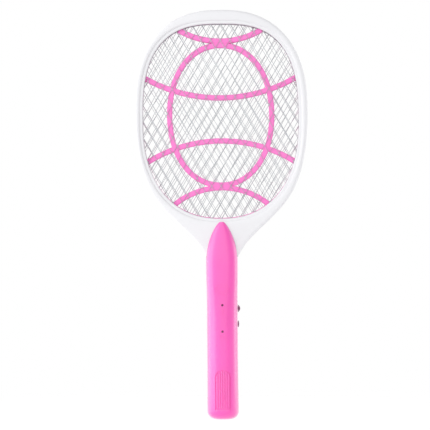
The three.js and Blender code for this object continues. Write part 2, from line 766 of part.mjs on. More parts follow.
function bladeFoot(side, clearance) {
  const near = side * (BLADE.offset - 0.5);
  const far = side * (CARRIER.halfWidth + 0.4 + clearance);
  return box(
    [Math.min(near, far), Math.max(near, far)],
    [-1.5 - clearance, 1.5 + clearance],
    [35 - clearance, 36.5 + clearance],
  );
}

function chargingPlug() {
  const { foot, top, halfWidth, halfDepth } = CARRIER;
  let carrier = box([-halfWidth, halfWidth], [-halfDepth, halfDepth], [foot, top]);
  const blades = [-1, 1].map((side) => {
    const cutter = bladeBody(side, GAP, foot - 5, top + 5).add(bladeFoot(side, GAP));
    carrier = carrier.subtract(cutter);
    const body = bladeBody(side, 0, BLADE.tip, BLADE.top).add(bladeFoot(side, 0));
    return piece(side < 0 ? "plug_blade_left" : "plug_blade_right", LOOKS.brass, body);
  });
  return [piece("plug_carrier", LOOKS.darkPlastic, carrier), ...blades];
}

// The thumb slider outside the rear wall, on a stem that reaches the carrier through the slot.
function thumbSlider() {
  const { height, halfLength, halfWidth, stem } = SLIDER;
  const surface = GRIP.halfDepth + GAP + 0.25;
  const length = [height - halfLength, height + halfLength];
  let cap = box([-halfWidth, halfWidth], [surface, surface + 2.2], length);
  for (let i = -2; i <= 2; i++) {
    const z = height + i * 2;
    const across = [-halfWidth - 1, halfWidth + 1];
    const groove = box(across, [surface + 1.6, surface + 4], [z - 0.45, z + 0.45]);
    cap = cap.subtract(groove);
  }
  const reach = [CARRIER.halfDepth + GAP, surface + 0.5];
  const shank = box([-stem, stem], reach, [height - stem, height + stem]);
  return piece("plug_thumb_slider", LOOKS.darkPlastic, cap.add(shank));
}

function plugContacts() {
  return [-1, 1].map((side) => {
    const near = side * (CARRIER.halfWidth + 0.7);
    const far = near + side * 0.6;
    const strip = box([Math.min(near, far), Math.max(near, far)], [-2, 2], [16, 45.5]);
    return piece(side < 0 ? "plug_contact_left" : "plug_contact_right", LOOKS.brass, strip);
  });
}

// ---------- leads ----------

function leads() {
  const gridEnd = TAB.foot + 2;
  const bridge = box(
    [-TAB.offset - 2, -TAB.offset + 2],
    [-GUARD_OFFSET + 0.6, GUARD_OFFSET - 0.6],
    [TAB.foot + 1, TAB.foot + 3],
  );
  const front = BOARD.front - GAP - 0.75;
  const rear = BOARD.back + GAP + 0.75;
  const chargeLead = (side) => [
    [side * 10.7, rear + 1.4, 47],
    [side * 9.3, 9.3, 55],
    [side * 9.3, 9.4, 70],
    [side * 9.3, 9.2, 86],
    [side * 10, rear, 97],
  ];
  return [
    piece("live_lead", LOOKS.redWire, wire(0.7, [
      [6, front, 133],
      [6.4, 0.4, 145],
      [6.6, 0, 170],
      [6.2, -0.8, 200],
      [6, -1.5, gridEnd],
    ])),
    piece("ground_lead", LOOKS.blackWire, wire(0.7, [
      [-6, front, 133],
      [-6.4, 0.4, 145],
      [-6.6, 0, 170],
      [-6.2, 0, 195],
      [-6, 0, TAB.foot],
    ])),
    piece("ground_bridge", LOOKS.copper, bridge),
    piece("cell_lead_positive", LOOKS.redWire, wire(0.7, [
      [CELL.offset, 0, CELL.top + GAP],
      [CELL.offset, -0.3, 95],
      [CELL.offset, front, 99],
    ], 8)),
    piece("cell_lead_negative", LOOKS.blackWire, wire(0.7, [
      [-CELL.offset, 0, CELL.top + GAP],
      [-CELL.offset, -0.3, 95],
      [-CELL.offset, front, 99],
    ], 8)),
    piece("charge_lead_left", LOOKS.blackWire, wire(0.6, chargeLead(-1))),
    piece("charge_lead_right", LOOKS.redWire, wire(0.6, chargeLead(1))),
  ];
}

// ---------- assembly ----------

const swatter = new THREE.Group();
swatter.name = "electric_fly_swatter";
swatter.position.z = -GRIP_HEIGHT;
swatter.add(
  ...frameShells(),
  ...spacers(),
  ...grids(),
  ...frameScrews(),
  ...handleShells(),
  ...handleScrews(),
  lamp("charge_lamp", LAMP_HEIGHTS.charge),
  lamp("power_lamp", LAMP_HEIGHTS.power),
  switchKnob(),
  switchBody(),
  pushButton(),
  buttonSwitchBody(),
  circuitBoard(),
  ...transformer(),
  ...boardComponents(),
  ...cells(),
  ...chargingPlug(),
  thumbSlider(),
  ...plugContacts(),
  ...leads(),
);

export default swatter;
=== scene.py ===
import math

import bpy
from bpy.props import FloatProperty, FloatVectorProperty, IntProperty, PointerProperty, StringProperty
from mathutils import Matrix, Vector


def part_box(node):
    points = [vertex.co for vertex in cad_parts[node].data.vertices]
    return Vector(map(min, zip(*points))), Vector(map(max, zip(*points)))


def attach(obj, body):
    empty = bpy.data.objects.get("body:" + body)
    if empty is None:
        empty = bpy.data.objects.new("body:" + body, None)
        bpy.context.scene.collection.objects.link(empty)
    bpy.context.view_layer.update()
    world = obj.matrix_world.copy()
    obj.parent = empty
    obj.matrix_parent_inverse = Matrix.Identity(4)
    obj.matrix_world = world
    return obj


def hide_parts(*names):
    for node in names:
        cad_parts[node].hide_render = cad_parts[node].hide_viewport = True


bl_info = {
    "name": "Electric Fly Swatter",
    "version": (1, 0, 0),
    "blender": (4, 5, 0),
    "location": "View3D > Sidebar > Swatter",
    "description": "Models an electric fly swatter round its packed frame, piece by piece",
    "category": "Add Mesh",
}

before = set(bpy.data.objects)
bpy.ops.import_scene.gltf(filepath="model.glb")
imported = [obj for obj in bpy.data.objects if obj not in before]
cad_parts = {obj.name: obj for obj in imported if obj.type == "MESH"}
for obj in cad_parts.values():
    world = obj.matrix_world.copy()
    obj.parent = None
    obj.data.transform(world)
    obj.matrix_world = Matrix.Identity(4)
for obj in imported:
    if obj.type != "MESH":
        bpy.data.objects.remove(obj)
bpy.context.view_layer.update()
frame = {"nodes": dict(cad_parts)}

MM = 0.001
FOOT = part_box("front_handle_shell")[0].z  # the bottom of the handle, from which heights count
FACE_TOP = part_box("front_frame_shell")[1]
GAP = 0.15 * MM  # half the parting gap between front and rear shells


def up(height):
    """The frame's Z at a height above the bottom of the handle."""
    return FOOT + height


# ---------------------------------------------------------------- settings


class SwatterHead(bpy.types.PropertyGroup):
    """Sizes of the racket head."""

    half_width: FloatProperty(
        name="Half width", description="Middle of the head to its widest point",
        default=FACE_TOP.x, unit="LENGTH")
    widest_at: FloatProperty(
        name="Widest at", description="Height of the widest point", default=338 * MM, unit="LENGTH")
    half_depth: FloatProperty(
        name="Half depth", description="Parting plane to the face of the rim",
        default=-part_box("front_frame_shell")[0].y, unit="LENGTH")
    rounding: FloatProperty(
        name="Rounding", description="Radius of the rim's edges", default=3.4 * MM, unit="LENGTH")
    opening_half_width: FloatProperty(
        name="Opening half width", description="Middle to the side of the opening",
        default=85.6 * MM, unit="LENGTH")
    opening_half_height: FloatProperty(
        name="Opening half height", description="Middle to the top of the opening",
        default=106.9 * MM, unit="LENGTH")
    opening_middle: FloatProperty(
        name="Opening middle", description="Height of the opening's middle",
        default=327.7 * MM, unit="LENGTH")
    lip: FloatProperty(
        name="Inner lip", description="Width of the step inside the rim", default=2.4 * MM,
        unit="LENGTH")


class SwatterMesh(bpy.types.PropertyGroup):
    """Sizes of the expanded metal and of the spacers."""

    diamond_width: FloatProperty(
        name="Diamond width", description="Short way of a diamond, knuckle to knuckle",
        default=10.64 * MM, unit="LENGTH")
    diamond_height: FloatProperty(
        name="Diamond height", description="Long way of a diamond, knuckle to knuckle",
        default=17.85 * MM, unit="LENGTH")
    strand_width: FloatProperty(
        name="Strand width", description="Width of one strand", default=0.36 * MM, unit="LENGTH")
    strand_thickness: FloatProperty(
        name="Sheet thickness", description="Thickness of the metal sheet", default=0.4 * MM,
        unit="LENGTH")
    rib: FloatProperty(
        name="Spacer rib", description="Width of a spacer's ribs", default=5.8 * MM, unit="LENGTH")
    rib_rounding: FloatProperty(
        name="Rib rounding", description="Radius of the ribs' edges", default=1.1 * MM,
        unit="LENGTH")


class SwatterGrip(bpy.types.PropertyGroup):
    """Sizes of the handle."""

    half_width: FloatProperty(
        name="Half width", description="Axis to the side of the handle", default=17.2 * MM,
        unit="LENGTH")
    half_depth: FloatProperty(
        name="Half depth", description="Axis to the front of the handle",
        default=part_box("rear_handle_shell")[1].y, unit="LENGTH")
    foot_radius: FloatProperty(
        name="Foot radius", description="Rounding at the bottom", default=8.8 * MM, unit="LENGTH")
    wall: FloatProperty(
        name="Wall", description="Thickness of the shells", default=2.4 * MM, unit="LENGTH")
    sides: IntProperty(
        name="Sides", description="Faces round the handle", default=96, min=24, max=192)
    raised: FloatProperty(
        name="Raised marks", description="How far the moulded marks stand out",
        default=0.26 * MM, unit="LENGTH")


class SwatterColours(bpy.types.PropertyGroup):
    """Colours, as sRGB hex values."""

    grip: StringProperty(name="Grip", description="Handle shells", default="#F230AF")
    spacer: StringProperty(name="Spacer", description="Spacers", default="#F77FCB")
    frame: StringProperty(name="Frame", description="Head frame", default="#E6E6E9")
    control: StringProperty(name="Controls", description="Switch and button", default="#7E3562")
    lamp: StringProperty(name="Lamps", description="Tint of the lamps", default="#6A0048")
    metal: StringProperty(name="Grids", description="Expanded aluminium", default="#B9BCC0")


class SwatterStage(bpy.types.PropertyGroup):
    """Camera, light and floor."""

    lens: FloatProperty(
        name="Lens", description="Focal length in millimetres", default=200, min=20)
    framed: FloatProperty(
        name="Framed height", description="Height that fills the picture", default=473.7 * MM,
        unit="LENGTH")
    aim: FloatVectorProperty(
        name="Aim", description="Point in the middle of the picture, heights from the foot",
        default=(-7.2 * MM, 0, 224.7 * MM), subtype="TRANSLATION")
    roll: FloatProperty(
        name="Roll", description="Tilt of the camera", default=math.radians(-0.47),
        subtype="ANGLE")
    sky: FloatProperty(
        name="Sky", description="Strength of the light from the white surroundings", default=0.66)
    broad: FloatProperty(
        name="Broad softboxes", description="Power of the front and back softboxes, in watts",
        default=21.0)
    left: FloatProperty(
        name="Left strip", description="Power of the left strip light, in watts", default=5.5)
    left_front: FloatProperty(
        name="Left front softbox", description="Power of the softbox in front of the left strip, "
        "in watts", default=7.5)
    right: FloatProperty(
        name="Right strip", description="Power of the right strip light, in watts", default=3.5)


# ---------------------------------------------------------------- working with objects


def select_only(*pieces):
    """Makes these the only selected objects, the first one active."""
    bpy.ops.object.select_all(action="DESELECT")
    for piece in pieces:
        piece.select_set(True)
    bpy.context.view_layer.objects.active = pieces[0]


def settle(piece):
    """Moves a piece's place, turn and size into its mesh."""
    select_only(piece)
    bpy.ops.object.transform_apply(location=True, rotation=True, scale=True)
    return piece


def new_object(name, data):
    piece = bpy.data.objects.new(name, data)
    bpy.context.scene.collection.objects.link(piece)
    return piece


def block(low, high):
    """A box between two corners."""
    low, high = Vector(low), Vector(high)
    bpy.ops.object.select_all(action="DESELECT")
    bpy.ops.mesh.primitive_cube_add(size=1, location=(low + high) / 2)
    piece = bpy.context.object
    piece.scale = high - low
    return settle(piece)


def rod(radius, start, end, sides=48):
    """A round bar between two points."""
    start, end = Vector(start), Vector(end)
    along = end - start
    bpy.ops.object.select_all(action="DESELECT")
    bpy.ops.mesh.primitive_cylinder_add(vertices=sides, radius=radius, depth=along.length)
    piece = bpy.context.object
    piece.rotation_euler = along.to_track_quat("Z", "Y").to_euler()
    piece.location = (start + end) / 2
    return settle(piece)


def turned(profile, origin, axis, steps=56):
    """A round piece, made by spinning a profile of (radius, distance) points about its axis."""
    mesh = bpy.data.meshes.new("profile")
    points = [(radius, 0, along) for radius, along in profile]
    mesh.from_pydata(points, [(i, i + 1) for i in range(len(points) - 1)], [])
    piece = new_object("turned", mesh)
    select_only(piece)
    bpy.ops.object.mode_set(mode="EDIT")
    bpy.ops.mesh.select_all(action="SELECT")
    bpy.ops.mesh.spin(steps=steps, angle=2 * math.pi, center=(0, 0, 0), axis=(0, 0, 1))
    bpy.ops.mesh.select_all(action="SELECT")
    bpy.ops.mesh.remove_doubles(threshold=1e-6)
    bpy.ops.mesh.normals_make_consistent(inside=False)
    bpy.ops.object.mode_set(mode="OBJECT")
    piece.rotation_euler = Vector(axis).to_track_quat("Z", "Y").to_euler()
    piece.location = origin
    return settle(piece)


def plate(outlines, near, far, rounding=0.0, steps=5):
    """A plate from Y near to Y far, cut to outlines of (x, z) points and rounded at its edges.
    The first outline is its edge and the others are holes."""
    curve = bpy.data.curves.new("plate", "CURVE")
    curve.dimensions = "2D"
    curve.fill_mode = "BOTH"
    curve.extrude = (far - near) / 2 - rounding
    curve.bevel_depth = rounding
    curve.bevel_resolution = steps - 1
    curve.offset = -rounding
    for outline in outlines:
        spline = curve.splines.new("POLY")
        spline.points.add(len(outline) - 1)
        for point, (x, z) in zip(spline.points, outline):
            point.co = (x, z, 0, 1)
        spline.use_cyclic_u = True
    piece = new_object("plate", curve)
    select_only(piece)
    bpy.ops.object.convert(target="MESH")
    piece = bpy.context.object
    piece.rotation_euler = (math.pi / 2, 0, 0)
    piece.location = (0, (near + far) / 2, 0)
    settle(piece)
    bpy.ops.object.mode_set(mode="EDIT")
    bpy.ops.mesh.select_all(action="SELECT")
    bpy.ops.mesh.remove_doubles(threshold=2e-6)
    bpy.ops.mesh.normals_make_consistent(inside=False)
    bpy.ops.object.mode_set(mode="OBJECT")
    return piece


def joined(pieces):
    """Several meshes as one object."""
    select_only(*pieces)
    if len(pieces) > 1:
        bpy.ops.object.join()
    return bpy.context.object


def shaped(piece, tool, operation):
    """Applies a boolean with a tool, which is used up."""
    modifier = piece.modifiers.new("shape", "BOOLEAN")
    modifier.operation = operation
    modifier.object = tool
    modifier.solver = "MANIFOLD"
    select_only(piece)
    bpy.ops.object.modifier_apply(modifier=modifier.name)
    if not piece.data.polygons:
        raise RuntimeError("a boolean left nothing of " + piece.name)
    bpy.data.objects.remove(tool)
    return piece


def cut(piece, tool):
    return shaped(piece, tool, "DIFFERENCE")


def fused(piece, tool):
    return shaped(piece, tool, "UNION")


def common(piece, tool):
    return shaped(piece, tool, "INTERSECT")


def copied(piece):
    """A copy with its own mesh."""
    twin = piece.copy()
    twin.data = piece.data.copy()
    bpy.context.scene.collection.objects.link(twin)
    return twin


def half(piece, side):
    """Keeps the half of a piece in front of the parting plane (side -1) or behind it (side 1)."""
    select_only(piece)
    bpy.ops.object.mode_set(mode="EDIT")
    bpy.ops.mesh.select_all(action="SELECT")
    bpy.ops.mesh.bisect(
        plane_co=(0, side * GAP, 0), plane_no=(0, 1, 0), use_fill=True,
        clear_inner=side > 0, clear_outer=side < 0)
    bpy.ops.object.mode_set(mode="OBJECT")
    return piece


def softened(piece, width, segments=3, angle=40):
    """Rounds every edge sharper than an angle."""
    modifier = piece.modifiers.new("soften", "BEVEL")
    modifier.width = width
    modifier.segments = segments
    modifier.limit_method = "ANGLE"
    modifier.angle_limit = math.radians(angle)
    select_only(piece)
    bpy.ops.object.modifier_apply(modifier=modifier.name)
    return piece


def delivered(piece, name, body, material, replaced=(), angle=30):
    """Names a finished piece, gives it its finish and sets it on its body in place of CAD nodes."""
    settle(piece)
    piece.name = name
    piece.data.name = name
    piece.data.materials.clear()
    piece.data.materials.append(material)
    for face in piece.data.polygons:
        face.material_index = 0
    bpy.ops.object.shade_smooth_by_angle(angle=math.radians(angle))
    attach(piece, body)
    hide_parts(*replaced)
    return piece


# ---------------------------------------------------------------- outlines


def between(low, high, value):
    """0 below low, 1 above high, and a smooth step between."""
    t = min(1.0, max(0.0, (value - low) / (high - low)))
    return t * t * (3 - 2 * t)


def super_point(angle, half_width, half_height, power):
    """A point on a superellipse."""
    c, s = math.cos(angle), math.sin(angle)
    c = 0 if abs(c) < 1e-9 else c
    s = 0 if abs(s) < 1e-9 else s
    x = math.copysign(abs(c) ** (2 / power), c) * half_width
    z = math.copysign(abs(s) ** (2 / power), s) * half_height
    return x, z


OPENING_POWERS = (2.8, 2.3)  # squarer above the opening's middle than below it


def opening_point(angle, grow):
    head = bpy.context.scene.swatter_head
    power = OPENING_POWERS[0] if math.sin(angle) > 0 else OPENING_POWERS[1]
    x, z = super_point(
        angle, head.opening_half_width + grow, head.opening_half_height + grow, power)
    return x, up(head.opening_middle) + z


def opening_outline(grow, count=180):
    return [opening_point(2 * math.pi * i / count, grow) for i in range(count)]


def inside_opening(x, z, grow):
    head = bpy.context.scene.swatter_head
    dz = z - up(head.opening_middle)
    power = OPENING_POWERS[0] if dz > 0 else OPENING_POWERS[1]
    across = abs(x) / (head.opening_half_width + grow)
    along = abs(dz) / (head.opening_half_height + grow)
    return across ** power + along ** power < 1


def bezier(start, pull, push, end, count):
    """Points after the start of a curve that leaves towards pull and arrives from push."""
    points = []
    for i in range(1, count + 1):
        t = i / count
        weights = ((1 - t) ** 3, 3 * t * (1 - t) ** 2, 3 * t * t * (1 - t), t ** 3)
        corners = (start, pull, push, end)
        points.append(tuple(sum(w * c[k] for w, c in zip(weights, corners)) for k in (0, 1)))
    return points


def mirrored_outline(right):
    """A closed outline from its right side, listed from the bottom to a last point on the axis."""
    return right + [(-x, z) for x, z in reversed(right[:-1])]


SHOULDER = 178.3 * MM  # where the head's neck meets the handle
NECK_HALF = 17.7 * MM
CROWN_POWER = 2.4


def head_outline():
    """The head with its neck, down to the handle's shoulder."""
    head = bpy.context.scene.swatter_head
    foot = (NECK_HALF, SHOULDER + 2 * GAP)
    low = (40 * MM, 207.3 * MM)
    high = (52 * MM, 218.3 * MM)
    side = (head.half_width, head.widest_at)
    right = [foot]
    right += bezier(foot, (27.1 * MM, 196 * MM), (30.3 * MM, 197.2 * MM), low, 20)
    right += [high]
    right += bezier(high, (66.7 * MM, 234.6 * MM), (head.half_width, 252 * MM), side, 40)
    rise = FACE_TOP.z - up(head.widest_at)
    crown = 60
    for i in range(1, crown + 1):
        x, z = super_point(i / crown * math.pi / 2, head.half_width, rise, CROWN_POWER)
        right.append((x, head.widest_at + z))
    return [(x, up(z)) for x, z in mirrored_outline(right)]


# ---------------------------------------------------------------- finishes


def linear(colour):
    """The linear colour of an sRGB hex value."""
    channels = [int(colour[i:i + 2], 16) / 255 for i in (1, 3, 5)]
    curve = [c / 12.92 if c <= 0.04045 else ((c + 0.055) / 1.055) ** 2.4 for c in channels]
    return (*curve, 1.0)


def add(tree, kind, settings=None, values=None, links=None):
    """Adds a node, sets its properties and inputs, and links sockets of other nodes to it."""
    node = tree.nodes.new(kind)
    for name, value in (settings or {}).items():
        setattr(node, name, value)
    for socket, value in (values or {}).items():
        node.inputs[socket].default_value = value
    for socket, source in (links or {}).items():
        tree.links.new(source, node.inputs[socket])
    return node


def empty_material(name):
    material = bpy.data.materials.new(name)
    material.use_nodes = True
    material.node_tree.nodes.clear()
    return material, material.node_tree


def per_metre(size):
    """The texture scale whose features are about a size apart."""
    return 1.0 / size


def ramp(tree, source, low, high, positions=(0.0, 1.0)):
    """Maps a value onto a range of greys or colours."""
    node = add(tree, "ShaderNodeValToRGB", links={"Fac": source})
    for element, position, colour in zip(node.color_ramp.elements, positions, (low, high)):
        element.position = position
        element.color = colour if hasattr(colour, "__len__") else (colour, colour, colour, 1)
    return node.outputs["Color"]


def shaded(colour, factor):
    """A colour made darker or lighter."""
    return tuple(min(1.0, c * factor) for c in colour[:3]) + (1.0,)


def moulded(name, colour, roughness, grain, spread, ior, bump, skin=0.0, haze=0.0):
    """Injection-moulded plastic: a fine eroded grain from the mould, faint flow clouds in the
    colour, patches that hands and the mould have polished a little more, a shinier skin where
    the mould's wall was hot, and the pale haze that soft-touch paint shows along its edges."""
    material, tree = empty_material(name)
    place = add(tree, "ShaderNodeTexCoord").outputs["Object"]
    clouds = add(tree, "ShaderNodeTexNoise", values={"Scale": per_metre(38 * MM), "Detail": 3.0},
                 links={"Vector": place}).outputs["Fac"]
    polish = add(tree, "ShaderNodeTexNoise", values={"Scale": per_metre(9 * MM), "Detail": 5.0},
                 links={"Vector": place}).outputs["Fac"]
    pits = add(tree, "ShaderNodeTexNoise",
               values={"Scale": per_metre(grain), "Detail": 2.0, "Roughness": 0.6},
               links={"Vector": place}).outputs["Fac"]
    base = linear(colour)
    tint = ramp(tree, clouds, shaded(base, 1 - spread), shaded(base, 1 + spread), (0.3, 0.7))
    gloss = ramp(tree, polish, roughness - 0.05, roughness + 0.06, (0.25, 0.75))
    relief = add(tree, "ShaderNodeBump", values={"Strength": bump, "Distance": 0.05 * MM},
                 links={"Height": pits}).outputs["Normal"]
    shader = add(tree, "ShaderNodeBsdfPrincipled",
                 values={"IOR": ior, "Coat Weight": skin, "Coat IOR": 1.75, "Coat Roughness": 0.3,
                         "Sheen Weight": haze, "Sheen Roughness": 0.5},
                 links={"Base Color": tint, "Roughness": gloss, "Normal": relief})
    add(tree, "ShaderNodeOutputMaterial", links={"Surface": shader.outputs["BSDF"]})
    return material


def metal(name, colour, roughness, streak, spread, stretch=(1, 1, 1)):
    """Bare metal with fine drawn or rolled streaks, dull and bright by turns."""
    material, tree = empty_material(name)
    place = add(tree, "ShaderNodeTexCoord").outputs["Object"]
    drawn = add(tree, "ShaderNodeMapping", values={"Scale": stretch},
                links={"Vector": place}).outputs["Vector"]
    streaks = add(tree, "ShaderNodeTexNoise",
                  values={"Scale": per_metre(streak), "Detail": 4.0},
                  links={"Vector": drawn}).outputs["Fac"]
    base = linear(colour)
    tint = ramp(tree, streaks, shaded(base, 1 - spread), shaded(base, 1 + spread), (0.3, 0.7))
    gloss = ramp(tree, streaks, roughness - 0.08, roughness + 0.1, (0.3, 0.7))
    relief = add(tree, "ShaderNodeBump", values={"Strength": 0.15, "Distance": 0.02 * MM},
                 links={"Height": streaks}).outputs["Normal"]
    shader = add(tree, "ShaderNodeBsdfPrincipled", values={"Metallic": 1.0},
                 links={"Base Color": tint, "Roughness": gloss, "Normal": relief})
    add(tree, "ShaderNodeOutputMaterial", links={"Surface": shader.outputs["BSDF"]})
    return material


def finish(name):
    """The named finish, made once."""
    if name in bpy.data.materials:
        return bpy.data.materials[name]
    colours = bpy.context.scene.swatter_colours
    makers = {
        # Satin ABS from a lightly eroded mould: soft wide highlights, no sparkle.
        "grip_abs": lambda: moulded(name, colours.grip, 0.42, 0.5 * MM, 0.03, 1.5, 0.12, 1.0, 1.0),
        # Polished-mould ABS: whiter highlights along its rounded edges.
        "frame_abs": lambda: moulded(name, colours.frame, 0.4, 0.6 * MM, 0.012, 1.5, 0.06),
        # Polypropylene of the spacers, a little waxy and duller than the grip.
        "spacer_polypropylene":
            lambda: moulded(name, colours.spacer, 0.44, 0.5 * MM, 0.03, 1.49, 0.1),
        "control_abs": lambda: moulded(name, colours.control, 0.34, 0.4 * MM, 0.04, 1.5, 0.12),
        # Glass-filled nylon of the plug and switches: dark and dull.
        "black_nylon": lambda: moulded(name, "#232326", 0.5, 0.35 * MM, 0.08, 1.53, 0.25),
        "capacitor_epoxy": lambda: moulded(name, "#A4461F", 0.35, 0.9 * MM, 0.08, 1.52, 0.2),
        "cell_sleeve_pvc": lambda: moulded(name, "#2E7D4B", 0.3, 1.2 * MM, 0.03, 1.52, 0.08),
        "red_wire_pvc": lambda: moulded(name, "#B81C24", 0.45, 0.6 * MM, 0.04, 1.52, 0.08),
        "black_wire_pvc": lambda: moulded(name, "#1B1B1D", 0.45, 0.6 * MM, 0.04, 1.52, 0.08),
        "board_laminate": lambda: moulded(name, "#1F6B3A", 0.4, 0.8 * MM, 0.05, 1.52, 0.15),
        "ferrite": lambda: moulded(name, "#333336", 0.62, 0.3 * MM, 0.1, 1.6, 0.35),
        # Expanded aluminium sheet, left as slit: grey, with a soft rolled sheen.
        "expanded_aluminium": lambda: metal(name, colours.metal, 0.38, 0.9 * MM, 0.1),
        # Zinc-plated steel screws.
        "zinc_plated_steel": lambda: metal(name, "#C4C7CA", 0.32, 0.5 * MM, 0.08),
        # Nickel-plated brass blades, drawn lengthwise.
        "nickel_plated_brass":
            lambda: metal(name, "#CFC7AE", 0.24, 0.4 * MM, 0.06, (1, 1, 0.15)),
        "enamelled_copper": lambda: metal(name, "#B5693A", 0.34, 0.35 * MM, 0.12, (1, 1, 4)),
        "tinned_copper": lambda: metal(name, "#B9805A", 0.35, 0.5 * MM, 0.08),
    }
    return makers[name]()


def lamp_epoxy():
    """Tinted epoxy of a 3 mm lamp: glossy and clear enough to look deep, its tint varied at random by
    a fine haze.
    """
    name = "lamp_epoxy"
    if name in bpy.data.materials:
        return bpy.data.materials[name]
    material, tree = empty_material(name)
    place = add(tree, "ShaderNodeTexCoord").outputs["Object"]
    haze = add(tree, "ShaderNodeTexNoise", values={"Scale": per_metre(1.4 * MM), "Detail": 2.0},
               links={"Vector": place}).outputs["Fac"]
    base = linear(bpy.context.scene.swatter_colours.lamp)
    tint = ramp(tree, haze, shaded(base, 0.8), shaded(base, 1.3), (0.3, 0.7))
    shader = add(tree, "ShaderNodeBsdfPrincipled",
                 values={"Roughness": 0.12, "IOR": 1.54, "Coat Weight": 0.6,
                         "Coat Roughness": 0.05},
                 links={"Base Color": tint})
    add(tree, "ShaderNodeOutputMaterial", links={"Surface": shader.outputs["BSDF"]})
    return material


# ---------------------------------------------------------------- head frame

CAPTURE = 3.2 * MM  # how far the grids and spacers reach under the rim
STACK_HALF = 6.5 * MM
FRAME_SCREW_INSET = 6 * MM
FRAME_SCREW_TURNS = [k for k in range(10) if k != 5]  # the neck takes the lowest place
TANG = {"half": 11.6 * MM, "foot": 141 * MM}
# The neck is slim up to one height and as thick as the head from another.
NECK = {"half_depth": 7.6 * MM, "slim_to": 190 * MM, "full_from": 219 * MM}
# The leads' channel, deepened at its top for the grids' tabs.
CHANNEL = {"half": 9.6 * MM, "half_depth": 4.6 * MM, "deep_from": 206 * MM, "deep": 7 * MM}
COUNTERBORE = 2.9 * MM
SCREW_SEAT = 2.2 * MM


def slimmed(piece, grow=0.0):
    """Slims a piece in depth to the neck's side view, its faces kept a gap outside it."""
    full = bpy.context.scene.swatter_head.half_depth
    select_only(piece)
    bpy.ops.object.mode_set(mode="EDIT")
    for height in (NECK["slim_to"], NECK["full_from"]):
        bpy.ops.mesh.select_all(action="SELECT")
        bpy.ops.mesh.bisect(plane_co=(0, 0, up(height)), plane_no=(0, 0, 1))
    bpy.ops.object.mode_set(mode="OBJECT")
    for vertex in piece.data.vertices:
        along = (vertex.co.z - up(NECK["slim_to"])) / (NECK["full_from"] - NECK["slim_to"])
        half_depth = NECK["half_depth"] + (full - NECK["half_depth"]) * min(1.0, max(0.0, along))
        vertex.co.y *= (half_depth + grow) / (full + grow)
    return piece


def frame_screw_places():
    for k in FRAME_SCREW_TURNS:
        yield opening_point(math.pi / 2 + k * math.pi / 5, FRAME_SCREW_INSET)


class SWATTER_OT_head_frame(bpy.types.Operator):
    """Models the head frame: a rounded rim with an inner lip, its neck and its tang, in two shells"""

    bl_idname = "swatter.head_frame"
    bl_label = "Head frame"

    def execute(self, context):
        head = context.scene.swatter_head
        depth = head.half_depth
        rim = plate([head_outline(), opening_outline(head.lip)], -depth, depth, head.rounding, 7)
        lip_depth = depth - 1.4 * MM
        lip = plate(
            [opening_outline(head.lip + 2.6 * MM), opening_outline(0)],
            -lip_depth, lip_depth, 1.3 * MM, 5)
        frame_body = slimmed(fused(rim, lip))
        tang_depth = depth - 0.6 * MM
        tang = softened(block((-TANG["half"], -tang_depth, up(TANG["foot"])),
                              (TANG["half"], tang_depth, up(SHOULDER - 2 * GAP))), 2 * MM)
        root_depth = NECK["half_depth"] - 0.4 * MM
        root = block((-TANG["half"], -root_depth, up(SHOULDER - 4 * MM)),
                     (TANG["half"], root_depth, up(SHOULDER + 8 * MM)))
        frame_body = fused(frame_body, fused(tang, softened(root, MM)))
        pocket = plate([opening_outline(CAPTURE)], -STACK_HALF, STACK_HALF)
        frame_body = cut(frame_body, pocket)
        top = head.opening_middle - head.opening_half_height + 5 * MM
        wide = CHANNEL["half"]
        channel = block((-wide, -CHANNEL["half_depth"], up(TANG["foot"] - 5 * MM)),
                        (wide, CHANNEL["half_depth"], up(CHANNEL["deep_from"] + MM)))
        deeper = block((-wide, -CHANNEL["deep"], up(CHANNEL["deep_from"])),
                       (wide, CHANNEL["deep"], up(top)))
        frame_body = cut(frame_body, fused(channel, deeper))
        seats = [
            rod(COUNTERBORE, (x, depth - SCREW_SEAT, z), (x, depth + 5 * MM, z))
            for x, z in frame_screw_places()]
        frame_body = cut(frame_body, joined(seats))
        front, rear = half(copied(frame_body), -1), half(frame_body, 1)
        abs_white = finish("frame_abs")
        delivered(front, "front_rim", "racket", abs_white, ["front_frame_shell"])
        delivered(rear, "rear_rim", "racket", abs_white, ["rear_frame_shell"])
        return {"FINISHED"}


# ---------------------------------------------------------------- spacers

SPACER_OVAL = {"middle": 334.5 * MM, "half_width": 56.2 * MM, "half_height": 76.9 * MM,
               "power": 2.12}
# Each bow's half span, and the heights of its ends and of its middle.
SPACER_BOWS = [
    (44 * MM, 427.4 * MM, 416 * MM),
    (82 * MM, 375 * MM, 353.6 * MM),
    (79.3 * MM, 284.2 * MM, 306.2 * MM),
    (51 * MM, 236.8 * MM, 254.6 * MM),
]

RIM_RISE = 1.3 * MM  # the spacer's rim shows only along the bottom of the opening


def oval_outline(grow, count=140):
    oval = SPACER_OVAL
    points = []
    for i in range(count):
        x, z = super_point(
            2 * math.pi * i / count, oval["half_width"] + grow, oval["half_height"] + grow,
            oval["power"])
        points.append((x, up(oval["middle"]) + z))
    return points


def bow_outline(half_span, ends, middle, width, count=40):
    """A band bent to an arc through both ends and the middle."""
    sagitta = ends - middle
    radius = (half_span ** 2 + sagitta ** 2) / (2 * abs(sagitta))
    centre = up(middle) + math.copysign(radius, sagitta)
    down = -math.pi / 2 if sagitta > 0 else math.pi / 2
    reach = math.asin(half_span / radius) + 0.02

    def edge(r):
        turns = (down + reach * (2 * i / count - 1) for i in range(count + 1))
        return [(r * math.cos(a), centre + r * math.sin(a)) for a in turns]

    return edge(radius + width / 2) + edge(radius - width / 2)[::-1]


